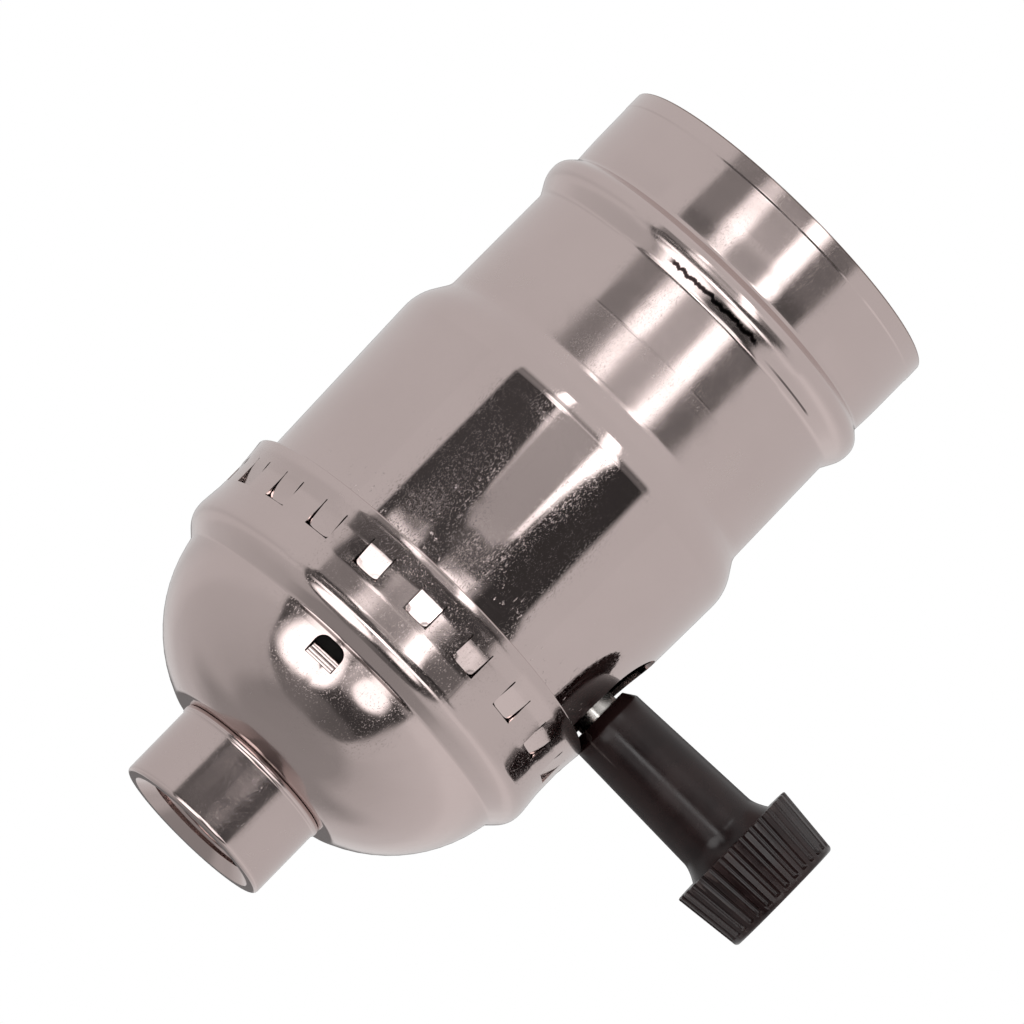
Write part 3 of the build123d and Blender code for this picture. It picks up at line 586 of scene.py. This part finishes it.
def make_plate_specks():
    """Scattered specks and pits of handled nickel plate, drawn out upwards: a mask."""
    tree, given, out = new_group("plate_specks", {"Size": 0.2, "Cover": 0.38, "Along": 0.5}, "Mask")
    stretch = node(tree, "ShaderNodeCombineXYZ", {0: 1.0, 1: 1.0, 2: given["Along"]}).outputs[0]
    links = {0: object_place(tree), 1: stretch}
    drawn = node(tree, "ShaderNodeVectorMath", links, operation="MULTIPLY").outputs[0]
    fine = noise(tree, calc(tree, "DIVIDE", 1000.0, given["Size"]), 2.0, drawn, Roughness=0.5)
    threshold = calc(tree, "SUBTRACT", 1.0, given["Cover"])
    spots = ramp(tree, fine, threshold, calc(tree, "ADD", threshold, 0.07))
    patches = ramp(tree, noise(tree, 260.0, 3.0), 0.34, 0.58, 0.3, 1.0)
    feed(tree, out, Mask=times(tree, spots, patches))
    return tree


def make_hand_smudges():
    """Broad dull patches where fingers touched the plate, with a fine grain in them: a mask."""
    tree, given, out = new_group("hand_smudges", {"Grain": 0.5}, "Mask")
    broad = ramp(tree, noise(tree, 300.0, 4.0, Distortion=0.6), 0.36, 0.64)
    grain = times(tree, calc(tree, "SUBTRACT", noise(tree, 5200.0, 2.0), 0.5), given["Grain"])
    feed(tree, out, Mask=calc(tree, "ADD", broad, grain, clamp=True))
    return tree


def make_sheet_waves():
    """Slight unevenness of drawn sheet: a height."""
    tree, given, out = new_group("sheet_waves", {"Size": 4.0}, "Height")
    feed(tree, out, Height=noise(tree, calc(tree, "DIVIDE", 1000.0, given["Size"]), 1.0))
    return tree


def make_handling_marks():
    """Fine scratches from handling, in two directions: a mask."""
    tree, _, out = new_group("handling_marks", {}, "Mask")
    lines = []
    for turn, stretch in ((0.4, (900.0, 900.0, 60.0)), (-0.9, (70.0, 700.0, 900.0))):
        links = {"Vector": object_place(tree), "Rotation": (turn, 0.3, turn), "Scale": stretch}
        turned = node(tree, "ShaderNodeMapping", links).outputs[0]
        lines.append(ramp(tree, noise(tree, 1.0, 2.0, turned), 0.62, 0.72))
    feed(tree, out, Mask=calc(tree, "MAXIMUM", *lines))
    return tree


def make_turning_lines():
    """Fine lines left by a lathe along the holder's axis: a height."""
    tree, given, out = new_group("turning_lines", {"Pitch": 0.12}, "Height")
    steps = calc(tree, "DIVIDE", holder_place(tree)["Z"], given["Pitch"])
    feed(tree, out, Height=noise_along(tree, steps, 1.0, 2.0))
    return tree


def make_worn_and_highlit_edges():
    """Where a piece is rubbed bright, and where the knob's ridges get a painted highlight: a mask
    from how sharp its surface is there.
    """
    tree, given, out = new_group("worn_and_highlit_edges", {"Reach": 0.04}, "Mask")
    point = node(tree, "ShaderNodeNewGeometry").outputs["Pointiness"]
    edge = ramp(tree, point, 0.51, calc(tree, "ADD", 0.51, given["Reach"]))
    feed(tree, out, Mask=times(tree, edge, ramp(tree, noise(tree, 1200.0, 3.0), 0.3, 0.6)))
    return tree


def make_moulded_grain():
    """Cloudy colour and orange-peel height of a phenolic moulding."""
    tree, given, out = new_group("moulded_grain", {"Size": 0.4}, "Cloud", "Height")
    peel = noise(tree, calc(tree, "DIVIDE", 1000.0, given["Size"]), 4.0, Roughness=0.6)
    feed(tree, out, Cloud=noise(tree, 300.0, 3.0), Height=peel)
    return tree


def make_fibre_web():
    """Short pressed fibres of a paper or fibre board: a mask and a height."""
    tree, given, out = new_group("fibre_web", {"Size": 0.3}, "Mask", "Height")
    web = noise(tree, calc(tree, "DIVIDE", 1000.0, given["Size"]), 5.0, Distortion=1.5)
    feed(tree, out, Mask=ramp(tree, web, 0.45, 0.65), Height=web)
    return tree


plate_specks = make_plate_specks()
hand_smudges = make_hand_smudges()
sheet_waves = make_sheet_waves()
handling_marks = make_handling_marks()
turning_lines = make_turning_lines()
worn_and_highlit_edges = make_worn_and_highlit_edges()
moulded_grain = make_moulded_grain()
fibre_web = make_fibre_web()


# Materials

# Dark marks on the holder's front: a painted dark reflection under the bead, a scratch beside it,
# and painted shade in the cap's fold. For each, the heights, and the places across, between which
# it fades in and out
BEAD_DARK_REFLECTION = (58.12, 58.24, 58.46, 58.6), (-5.0, -4.2, 4.8, 5.4)
BEAD_SCRATCH = (57.86, 57.94, 58.0, 58.08), (6.0, 9.0, 11.6, 12.3)
FOLD_CREASE_SHADE = (16.96, 17.08, 17.2, 17.32), (-7.2, -6.0, 5.0, 6.4)


def new_material(name, **shader):
    """A material with its Principled BSDF set, and its tree."""
    material = bpy.data.materials.new(name)
    material.use_nodes = True
    tree = material.node_tree
    bsdf = tree.nodes["Principled BSDF"]
    for key, value in shader.items():
        bsdf.inputs[key.replace("_", " ")].default_value = value
    return material, tree, bsdf


def plate_tint(tree, dark, light):
    """The warm grey of old nickel plate, slightly cloudy."""
    return blend(tree, noise(tree, 140.0, 3.0), dark, light)


def front_strip(tree, x, y, z, heights, across):
    """A strip across the holder's front: a mask."""
    return times(tree, strip_mask(tree, z, *heights), strip_mask(tree, x, *across),
                 ramp(tree, y, -6.0, -4.0, 1.0, 0.0))


def bead_reflection_and_scratch(tree, x, y, z):
    """Painted dark reflection line, irregular, under the front of the bead, and a thin scratch
    beside it: a mask.
    """
    wobble = ramp(tree, noise_along(tree, x, 1.3, 3.0), 0.3, 0.7, -0.16, 0.16, "LINEAR")
    # painted dark reflection line under the bead, with a wavy upper edge
    dark_reflection = front_strip(tree, x, y, calc(tree, "ADD", z, wobble), *BEAD_DARK_REFLECTION)
    return calc(tree, "MAXIMUM", dark_reflection, times(tree, front_strip(tree, x, y, z, *BEAD_SCRATCH), 0.8))


def nickel_shell():
    """Bright nickel plate: mirror-like below, duller and grained above the shoulder."""
    material, tree, bsdf = new_material("nickel_shell", Metallic=1.0)
    x, y, z = holder_place(tree)
    upper = ramp(tree, z, SHOULDER_FOOT_Z, SHOULDER_TOP_Z)
    specks = use_group(tree, plate_specks, Size=0.09, Cover=0.43, Along=0.4)["Mask"]
    pits = use_group(tree, plate_specks, Size=0.3, Cover=0.33)["Mask"]
    marks = use_group(tree, handling_marks)["Mask"]
    smudges = use_group(tree, hand_smudges, Grain=1.4)["Mask"]
    # painted dark reflection: the mouth's rounded edge is darkened to brown all round
    edge = ramp(tree, z, MOUTH_Z - MOUTH_EDGE * 1.2, MOUTH_Z - MOUTH_EDGE * 0.4)
    tint = plate_tint(tree, (0.595, 0.492, 0.472, 1), (0.645, 0.538, 0.518, 1))
    tint = blend(tree, edge, tint, (0.19, 0.12, 0.10, 1))
    # a painted dark reflection line under the bead's front, and a scratch beside it, darken the
    # plate's colour
    reflection_and_scratch = bead_reflection_and_scratch(tree, x, y, z)
    feed(tree, bsdf, Base_Color=blend(tree, reflection_and_scratch, tint, (0.02, 0.014, 0.014, 1)))
    under_line = ramp(tree, z, DRAW_LINE_Z - 0.1, DRAW_LINE_Z + 0.1, 1.0, 0.0)
    dull = weighted(tree, (smudges, 0.06), (under_line, 0.045), (ramp(tree, z, 61.5, 62.5), -0.02))
    rough = calc(tree, "ADD", ramp(tree, upper, 0.0, 1.0, 0.04, 0.11, "LINEAR"),
                 times(tree, upper, dull))
    spots = times(tree, weighted(tree, (specks, 0.14), (pits, 0.1), (marks, 0.03)),
                  ramp(tree, upper, 0.0, 1.0, 1.0, 0.5))
    feed(tree, bsdf, Roughness=calc(tree, "ADD", rough, spots))
    line = strip_mask(tree, z, DRAW_LINE_Z - 0.15, DRAW_LINE_Z, DRAW_LINE_Z, DRAW_LINE_Z + 0.15)
    foot_dents = times(tree, pits, ramp(tree, z, 28.2, 31.0, 1.6, 0.0))
    height = weighted(tree, (specks, -0.02), (pits, -0.04), (marks, -0.015), (foot_dents, -0.5),
                      (line, -0.2))
    waves = bump(tree, bsdf, use_group(tree, sheet_waves, Size=4.0)["Height"], 0.011)
    bump(tree, bsdf, height, 0.02, 1.0, waves)
    return material


def nickel_cap():
    """Bright nickel plate of the cap, with specks, fine marks and painted shade in its fold."""
    material, tree, bsdf = new_material("nickel_cap", Metallic=1.0)
    specks = use_group(tree, plate_specks, Size=0.12, Cover=0.385, Along=0.6)["Mask"]
    marks = use_group(tree, handling_marks)["Mask"]
    smudges = use_group(tree, hand_smudges, Grain=1.0)["Mask"]
    tint = plate_tint(tree, (0.58, 0.478, 0.458, 1), (0.63, 0.524, 0.504, 1))
    # painted shade: a dark line in the cap's fold, on its front
    crease_shade = times(tree, front_strip(tree, *holder_place(tree), *FOLD_CREASE_SHADE), 0.85)
    feed(tree, bsdf, Base_Color=blend(tree, crease_shade, tint, (0.08, 0.055, 0.05, 1)))
    rough = weighted(tree, (specks, 0.13), (marks, 0.04), (smudges, 0.05))
    feed(tree, bsdf, Roughness=calc(tree, "ADD", rough, 0.085))
    waves = bump(tree, bsdf, use_group(tree, sheet_waves, Size=3.0)["Height"], 0.03)
    bump(tree, bsdf, weighted(tree, (specks, -0.15), (marks, -0.04)), 0.015, 1.0, waves)
    return material


def nickel_neck():
    """Nickel plate over a turned surface with its fine tool lines."""
    material, tree, bsdf = new_material("nickel_neck", Metallic=1.0)
    specks = use_group(tree, plate_specks, Size=0.12, Cover=0.38, Along=0.6)["Mask"]
    smudges = use_group(tree, hand_smudges, Grain=1.2)["Mask"]
    feed(tree, bsdf, Base_Color=plate_tint(tree, (0.565, 0.465, 0.446, 1), (0.62, 0.516, 0.496, 1)))
    rough = weighted(tree, (specks, 0.12), (smudges, 0.05))
    feed(tree, bsdf, Roughness=calc(tree, "ADD", rough, 0.11))
    lines = bump(tree, bsdf, use_group(tree, turning_lines, Pitch=0.16)["Height"], 0.002, 0.6)
    bump(tree, bsdf, times(tree, specks, -0.12), 0.012, 1.0, lines)
    return material


def small_metal(name, dark, light, roughness):
    """Stamped or turned small metal part with a dull, slightly marked surface."""
    material, tree, bsdf = new_material(name, Metallic=1.0)
    specks = use_group(tree, plate_specks, Size=0.16, Cover=0.4, Along=0.8)["Mask"]
    marks = use_group(tree, handling_marks)["Mask"]
    edges = use_group(tree, worn_and_highlit_edges, Reach=0.05)["Mask"]
    tint = blend(tree, ramp(tree, noise(tree, 250.0, 4.0), 0.3, 0.7), dark, light)
    feed(tree, bsdf, Base_Color=blend(tree, edges, tint, light))
    rough = weighted(tree, (specks, 0.08), (marks, 0.05))
    feed(tree, bsdf, Roughness=calc(tree, "ADD", rough, roughness))
    bump(tree, bsdf, weighted(tree, (specks, -0.25), (marks, -0.1)), 0.006)
    return material


def phenolic(name, dark, light, edge_wear_and_highlight, roughness, peel, ior=1.5):
    """Moulded phenolic with a cloudy colour, orange peel and rubbed edges; on the knob the lighter
    edge colour is also a painted highlight on the flutes' ridges.
    """
    material, tree, bsdf = new_material(name, IOR=ior)
    grain = use_group(tree, moulded_grain, Size=peel)
    edges = use_group(tree, worn_and_highlit_edges, Reach=0.08)["Mask"]
    tint = blend(tree, ramp(tree, grain["Cloud"], 0.35, 0.65), dark, light)
    # lighter edges: wear, and on the knob a painted highlight on the flute ridges
    feed(tree, bsdf, Base_Color=blend(tree, times(tree, edges, 0.6), tint, edge_wear_and_highlight))
    rough = ramp(tree, grain["Cloud"], 0.3, 0.7, roughness - 0.05, roughness + 0.07)
    feed(tree, bsdf, Roughness=calc(tree, "SUBTRACT", rough, times(tree, edges, 0.1)))
    bump(tree, bsdf, grain["Height"], 0.008, 0.5)
    return material


def black_fibre():
    """Vulcanised fibre board, matte black with lighter fibres."""
    material, tree, bsdf = new_material("black_fibre")
    web = use_group(tree, fibre_web, Size=0.35)
    tint = blend(tree, web["Mask"], (0.018, 0.017, 0.016, 1), (0.045, 0.042, 0.04, 1))
    feed(tree, bsdf, Base_Color=tint, Roughness=ramp(tree, web["Mask"], 0.0, 1.0, 0.62, 0.85))
    bump(tree, bsdf, web["Height"], 0.02, 0.6)
    return material


finishes = {
    "plated_shell": nickel_shell(),
    "plated_cap": nickel_cap(),
    "plated_neck": nickel_neck(),
    "fibre": black_fibre(),
    "moulding": phenolic("dark_moulding", (0.020, 0.016, 0.014, 1), (0.034, 0.027, 0.023, 1),
                         (0.06, 0.05, 0.045, 1), 0.42, 0.35),
    "socket_metal": small_metal("bright_socket_sheet", (0.70, 0.69, 0.66, 1),
                                (0.80, 0.79, 0.77, 1), 0.2),
    "brass": small_metal("stamped_brass", (0.66, 0.45, 0.20, 1), (0.78, 0.58, 0.30, 1), 0.26),
    "nickel": small_metal("plated_terminal", (0.58, 0.55, 0.52, 1), (0.68, 0.65, 0.62, 1), 0.24),
    "spring_bronze": small_metal("spring_bronze_strip", (0.50, 0.30, 0.15, 1),
                                 (0.62, 0.42, 0.24, 1), 0.3),
    # the knob's light edge colour is a painted highlight on its flute ridges, as well as wear
    "knob_plastic": phenolic("knob_phenolic", (0.010, 0.0035, 0.0035, 1), (0.018, 0.007, 0.0065, 1),
                             (0.09, 0.07, 0.065, 1), 0.24, 0.3, 1.42),
}

slot_of = {entry["node"]: entry["material_slot"] for entry in frame["record"]["subparts"]}
for name, cad in frame["nodes"].items():
    for material_slot in cad.material_slots:
        material_slot.material = finishes[slot_of[name]]


def dress(piece, slot):
    """Gives a piece the finish of one of the record's material slots."""
    piece.data.materials.clear()
    piece.data.materials.append(finishes[slot])


def stand_for(piece, slot, body, *nodes):
    """A piece in place of a CAD node, on its body and with its finish."""
    dress(piece, slot)
    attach(piece, body)
    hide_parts(*nodes)


stand_for(make_shell_skin(), "plated_shell", "shell", "outer_shell")
stand_for(make_cap_skin(), "plated_cap", "holder", "cap")
lance_tab = make_lance_tab()
dress(lance_tab, "plated_cap")
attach(lance_tab, "holder")
neck_turning = closed_lathe("neck_turning", NECK_SECTION, 192, 25.0)
stand_for(neck_turning, "plated_neck", "holder", "neck_bushing")
neck_thread = make_neck_thread()
dress(neck_thread, "plated_neck")
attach(neck_thread, "holder")
stand_for(make_rolled_socket(), "socket_metal", "holder", "screw_shell")
stand_for(make_fluted_knob(), "knob_plastic", "knob_and_rotor", "knob")


# The studio: a pale floor, an even white world, and a curved card that the metal mirrors.
# Light levels follow stops of (height or elevation, value), joined by straight lines.

TENT, LEAN = 0.70, 0.11      # the tent's plain level, and how much more it has on the knob's side
TENT_LEVEL = [(-90, 0.36), (-66, 0.37), (-58, 0.56), (-40, 0.64), (-20, TENT), (-14, 0.78),
              (-6, 0.78), (0, TENT), (60, TENT), (90, 0.75)]
BACK_LEVEL, FLOOR_BEHIND_LEVEL = (0.06, 0.055, 0.055, 1), (0.37, 0.37, 0.37, 1)

# The card, by height on it in millimetres and degrees from the front
CARD_RADIUS, CARD_LOW, CARD_HIGH, CARD_HALF = 300.0, -900.0, 300.0, 66
SIDE_LEVEL = [(-700, 0.37), (-620, 0.37), (-440, 0.56), (-224, 0.64), (-89, TENT), (-70, 0.78),
              (-20, 0.78), (0, TENT)]
OPENING_LEFT = [(43, -53), (52, -53), (58, -50), (62, -49.5), (80, -48)]
OPENING_RIGHT = [(43, 44.5), (50, 45.0), (56, 53.4), (59, 53.4), (62, 48), (80, 47), (115, 48.5)]
OPENING_TOP = (128.0, 182.0)
OPENING_LEVEL = [(-700, 0.19), (-340, 0.17), (-300, 0.07), (-220, 0.07), (-180, 0.08), (-60, 0.07),
                 (30, 0.08), (42, 0.12), (52, 0.11), (59.6, 0.052), (80, 0.052), (90, 0.16),
                 (104, 0.22), (114, 0.22), (128, 0.19), (150, 0.3)]

# The grey middle between the lamps: where each side begins and ends, and its level
MIDDLE_EDGES = [[(62, -9), (64.3, -15.3), (77, -19.5), (100, -24)],
                [(62, -6), (64.3, -12.6), (77, -16), (100, -18)],
                [(62, 6), (64.3, 12), (77, 18), (100, 16)],
                [(62, 9), (64.3, 14.6), (77, 24), (100, 24)]]
MIDDLE_LEVEL = [(61.8, 0.0), (62.6, 0.7), (63.6, 0.42), (78, 0.45), (88, 0.3), (98, 0.3),
                (103, 0.5), (111, 0.5), (114, 0.25), (122, 0.15), (140, 0.1), (160, 0.0)]

# Each lamp: which side it is on, its outer edge, its width and its level
LAMP_RIGHT = (1.0,
              [(62, 10), (64.3, 14.6), (69, 16.1), (73, 19), (77, 25), (84, 28), (118, 27),
               (150, 25)],
              [(62, 3), (65, 4), (69, 5.5), (73, 9), (77, 15), (84, 18), (112, 19), (200, 16)],
              [(62, 0.0), (64.5, 0.7), (68, 1.5), (74, 2.7), (88, 2.7), (93, 1.4), (100, 1.4),
               (104, 2.4), (290, 2.6), (300, 0.0)])
LAMP_LEFT = (-1.0,
             [(62, -10), (64.3, -15.3), (77, -19.5), (84, -27), (104, -30), (135, -26), (200, -25)],
             [(62, 3), (77, 5), (84, 16), (104, 22), (135, 14), (200, 12)],
             [(62, 0.0), (66, 0.1), (72, 0.2), (77, 0.9), (84, 2.2), (88, 2.2), (93, 1.2),
              (100, 1.2), (104, 1.9), (113, 1.9), (118, 0.5), (145, 0.6), (160, 2.2),
              (290, 2.4), (300, 0.0)])

# Soft round patches: middle and half width across, middle and half height, and level
PATCHES = [(-25.0, 24.0, -175.0, 140.0, 2.4), (19.0, 13.0, -115.0, 70.0, 2.0)]

# Strips of light: how far across they reach, and their level
TABLE_STRIP = (-51.0, -34.0, 32.0, 48.0), [(-58, 0.0), (-46, 2.4), (-14, 2.4), (-6, 0.0)]
BETWEEN_STRIP = (-8.0, 0.0, 8.0, 14.0), [(-200, 0.0), (-150, 0.5), (-70, 0.6), (-60, 0.0)]
FOOT_REACH = (-45.0, -40.0, -24.0, -18.0), (-7.0, -2.0, 12.0, 24.0)
FOOT_LEVEL = [(56.4, 0.0), (56.9, 2.4), (58.3, 2.4), (59.1, 0.0)]

# The camera, in degrees and millimetres
CAMERA_DROP, CAMERA_ROLL, CAMERA_DISTANCE = 9.3, 44.35, 1800.0
AIM_Z, AIM_RIGHT, AIM_UP = 34.5, 2.14, 1.51
SENSOR_WIDTH, VIEW_WIDTH = 36.0, 83.05


def angle_from_front(tree, x, y):
    """Degrees from the front towards the knob."""
    return times(tree, calc(tree, "ARCTAN2", x, times(tree, y, -1.0)), 180 / pi)


def levels(tree, value, low, high, stops):
    """A value that follows straight lines between stops of (place, level)."""
    new = node(tree, "ShaderNodeValToRGB", {"Fac": ramp(tree, value, low, high, kind="LINEAR")})
    bar = new.color_ramp
    while len(bar.elements) < len(stops):
        bar.elements.new(0.5)
    for element, (at, level) in zip(bar.elements, stops):
        element.position = (at - low) / (high - low)
    for element, (at, level) in zip(bar.elements, stops):
        element.color = (level, level, level, 1)
    return new.outputs["Color"]


def follow(tree, height, stops):
    """A value in its own units that follows straight lines between stops of (height, value)."""
    total = stops[0][1]
    for (low, start), (high, end) in zip(stops, stops[1:]):
        total = calc(tree, "ADD", total, ramp(tree, height, low, high, 0.0, end - start, "LINEAR"))
    return total


def make_world():
    """White for the camera, an even light for the pieces, and a white tent for reflections."""
    world = bpy.data.worlds.new("studio")
    bpy.context.scene.world = world
    world.use_nodes = True
    tree = world.node_tree
    tree.nodes.clear()
    path = node(tree, "ShaderNodeLightPath").outputs
    x, y, z = split(tree, node(tree, "ShaderNodeTexCoord").outputs["Generated"])
    rise = times(tree, calc(tree, "ARCSINE", z), 180 / pi)
    azimuth = calc(tree, "ABSOLUTE", angle_from_front(tree, x, y))
    from_back = calc(tree, "SUBTRACT", 180.0, azimuth)
    back = times(tree, strip_mask(tree, from_back, -30.0, -20.0, 4.0, 9.0),
                 ramp(tree, calc(tree, "ABSOLUTE", rise), 30.0, 60.0, 0.8, 0.0))
    lean = times(tree, x, LEAN, ramp(tree, rise, 0.0, 10.0, 1.0, 0.0))
    floor_behind = times(tree, ramp(tree, azimuth, 125.0, 150.0),
                         ramp(tree, rise, -50.0, -30.0, 1.0, 0.0))
    tent = times(tree, levels(tree, rise, -90, 90, TENT_LEVEL), calc(tree, "ADD", lean, 1.0))
    seen = blend(tree, back, blend(tree, floor_behind, tent, FLOOR_BEHIND_LEVEL), BACK_LEVEL)

    def light(colour, strength):
        links = {"Color": colour, "Strength": strength}
        return node(tree, "ShaderNodeBackground", links).outputs[0]

    def choose(factor, usual, other):
        return node(tree, "ShaderNodeMixShader", {0: factor, 1: usual, 2: other}).outputs[0]

    white = (1, 1, 1, 1)
    clear = calc(tree, "MAXIMUM", path["Is Camera Ray"], path["Is Transmission Ray"])
    shown = choose(clear, choose(path["Is Glossy Ray"], light(white, 0.95), light(seen, 1.0)),
                   light(white, 1.0))
    feed(tree, node(tree, "ShaderNodeOutputWorld"), Surface=shown)


def lamp(tree, h, azimuth, side, edges, widths, brightness):
    """The level of a lamp whose edge, width and brightness change with the height."""
    edge, width = follow(tree, h, edges), follow(tree, h, widths)
    inward = calc(tree, "DIVIDE", times(tree, calc(tree, "SUBTRACT", edge, azimuth), side), width)
    return times(tree, strip_mask(tree, inward, 0.0, 0.3, 0.65, 1.0), follow(tree, h, brightness))


def patch(tree, h, azimuth, azimuth_at, azimuth_half, h_at, h_half, brightness):
    """The level of a soft round patch."""
    off = node(tree, "ShaderNodeCombineXYZ", {
        0: calc(tree, "DIVIDE", calc(tree, "SUBTRACT", azimuth, azimuth_at), azimuth_half),
        1: calc(tree, "DIVIDE", calc(tree, "SUBTRACT", h, h_at), h_half)}).outputs[0]
    out_from = node(tree, "ShaderNodeVectorMath", {0: off}, operation="LENGTH").outputs["Value"]
    return ramp(tree, out_from, 0.68, 1.12, brightness, 0.0)


def opening_mask(tree, h, azimuth):
    """Where the card is open towards the camera."""
    left, right = follow(tree, h, OPENING_LEFT), follow(tree, h, OPENING_RIGHT)
    bend = calc(tree, "POWER", calc(tree, "ABSOLUTE", calc(tree, "DIVIDE", azimuth, 47.0)), 3.0)
    floor_edge = calc(tree, "ADD", times(tree, bend, 330.0), -770.0)
    return times(tree, ramp(tree, calc(tree, "SUBTRACT", azimuth, left), -1.2, 1.2),
                 ramp(tree, calc(tree, "SUBTRACT", azimuth, right), -3.0, 1.4, 1.0, 0.0),
                 ramp(tree, h, *OPENING_TOP, 1.0, 0.0),
                 ramp(tree, calc(tree, "SUBTRACT", h, floor_edge), 0.0, 70.0))


def opening_level(tree, h, azimuth, lamps):
    """The level in the opening: nearly dark, with a grey middle, lamps, patches and strips."""
    dark = times(tree, follow(tree, h, OPENING_LEVEL), ramp(tree, azimuth, -20.0, 20.0, 1.3, 0.85))
    a, b, c, d = [follow(tree, h, stops) for stops in MIDDLE_EDGES]
    middle = times(tree, ramp(tree, azimuth, a, b), ramp(tree, azimuth, c, d, 1.0, 0.0),
                   follow(tree, h, MIDDLE_LEVEL))
    reach, level = TABLE_STRIP
    table = times(tree, strip_mask(tree, azimuth, *reach), follow(tree, h, level),
                  ramp(tree, calc(tree, "ABSOLUTE", azimuth), 6.0, 14.0, 1.8, 1.0))
    reach, level = BETWEEN_STRIP
    between = times(tree, strip_mask(tree, azimuth, *reach), follow(tree, h, level))
    sides = [strip_mask(tree, azimuth, *reach) for reach in FOOT_REACH]
    foot = times(tree, follow(tree, h, FOOT_LEVEL), calc(tree, "MAXIMUM", *sides))
    patches = [patch(tree, h, azimuth, *values) for values in PATCHES]
    brightest = foot
    for part in (lamps, table, between, *patches):
        brightest = calc(tree, "MAXIMUM", brightest, part)
    return calc(tree, "ADD", calc(tree, "ADD", dark, middle), brightest)


def make_front_card():
    """Curved card before the holder: the dark opening for the camera and the lamps beside it."""
    turns = range(-CARD_HALF, CARD_HALF + 1, 3)
    verts = [round_point(CARD_RADIUS, angle, z) for z in (CARD_LOW, CARD_HIGH) for angle in turns]
    count = len(turns)
    faces = [(i, i + 1, count + i + 1, count + i) for i in range(count - 1)]
    card = new_piece("front_card", verts, faces)
    for flag in ("visible_camera", "visible_diffuse", "visible_transmission", "visible_shadow",
                 "visible_volume_scatter"):
        setattr(card, flag, False)
    material = bpy.data.materials.new("front_card")
    material.use_nodes = True
    tree = material.node_tree
    tree.nodes.clear()
    x, y, h = holder_place(tree)
    azimuth = angle_from_front(tree, x, y)
    lamps = [lamp(tree, h, azimuth, *each) for each in (LAMP_RIGHT, LAMP_LEFT)]
    lamps = calc(tree, "MAXIMUM", *lamps)
    lean = times(tree, x, LEAN / CARD_RADIUS, ramp(tree, h, 0.0, 40.0, 1.0, 0.0))
    side = times(tree, follow(tree, h, SIDE_LEVEL), calc(tree, "ADD", 1.0, lean))
    side = calc(tree, "ADD", side, times(tree, ramp(tree, h, *OPENING_TOP), lamps))
    links = {0: opening_mask(tree, h, azimuth), 2: side, 3: opening_level(tree, h, azimuth, lamps)}
    glow = node(tree, "ShaderNodeMix", links, data_type="FLOAT")
    emit = node(tree, "ShaderNodeEmission", {"Strength": glow.outputs[0]})
    feed(tree, node(tree, "ShaderNodeOutputMaterial"), Surface=emit.outputs[0])
    card.data.materials.append(material)


def make_floor():
    """Pale floor under the neck, clear from below, that keeps the holder's shadow."""
    size = 3.0
    corners = [(-size, -size, 0), (size, -size, 0), (size, size, 0), (-size, size, 0)]
    floor = new_piece("floor", corners, [(0, 1, 2, 3)])
    floor.visible_glossy = False
    material, tree, bsdf = new_material("pale_floor", Roughness=0.9, Specular_IOR_Level=0.2)
    tint = blend(tree, noise(tree, 6.0, 4.0), (0.90, 0.90, 0.90, 1), (0.93, 0.93, 0.93, 1))
    feed(tree, bsdf, Base_Color=tint)
    clear = node(tree, "ShaderNodeBsdfTransparent").outputs[0]
    below = node(tree, "ShaderNodeNewGeometry").outputs["Backfacing"]
    mix = node(tree, "ShaderNodeMixShader", {0: below, 1: bsdf.outputs[0], 2: clear})
    feed(tree, tree.nodes["Material Output"], Surface=mix.outputs[0])
    floor.data.materials.append(material)


def make_camera():
    """Long lens from below the holder's horizontal, rolled so that the holder leans."""
    drop, roll = radians(CAMERA_DROP), radians(CAMERA_ROLL)
    ahead = Vector((0, cos(drop), sin(drop)))
    level = Vector((1, 0, 0))
    upright = Vector((0, -sin(drop), cos(drop)))
    right = level * cos(roll) + upright * sin(roll)
    up = upright * cos(roll) - level * sin(roll)
    camera = bpy.data.objects.new("camera", bpy.data.cameras.new("camera"))
    bpy.context.collection.objects.link(camera)
    matrix = Matrix((right, up, -ahead)).transposed().to_4x4()
    matrix.translation = (Vector((0, 0, AIM_Z)) + right * AIM_RIGHT + up * AIM_UP
                          - ahead * CAMERA_DISTANCE) * MM
    camera.matrix_world = matrix
    camera.data.sensor_width = SENSOR_WIDTH
    camera.data.lens = SENSOR_WIDTH * CAMERA_DISTANCE / VIEW_WIDTH
    camera.data.clip_start = 0.1
    camera.data.clip_end = 50.0
    bpy.context.scene.camera = camera


make_world()
make_front_card()
make_floor()
make_camera()
bpy.context.scene.view_settings.view_transform = "Standard"
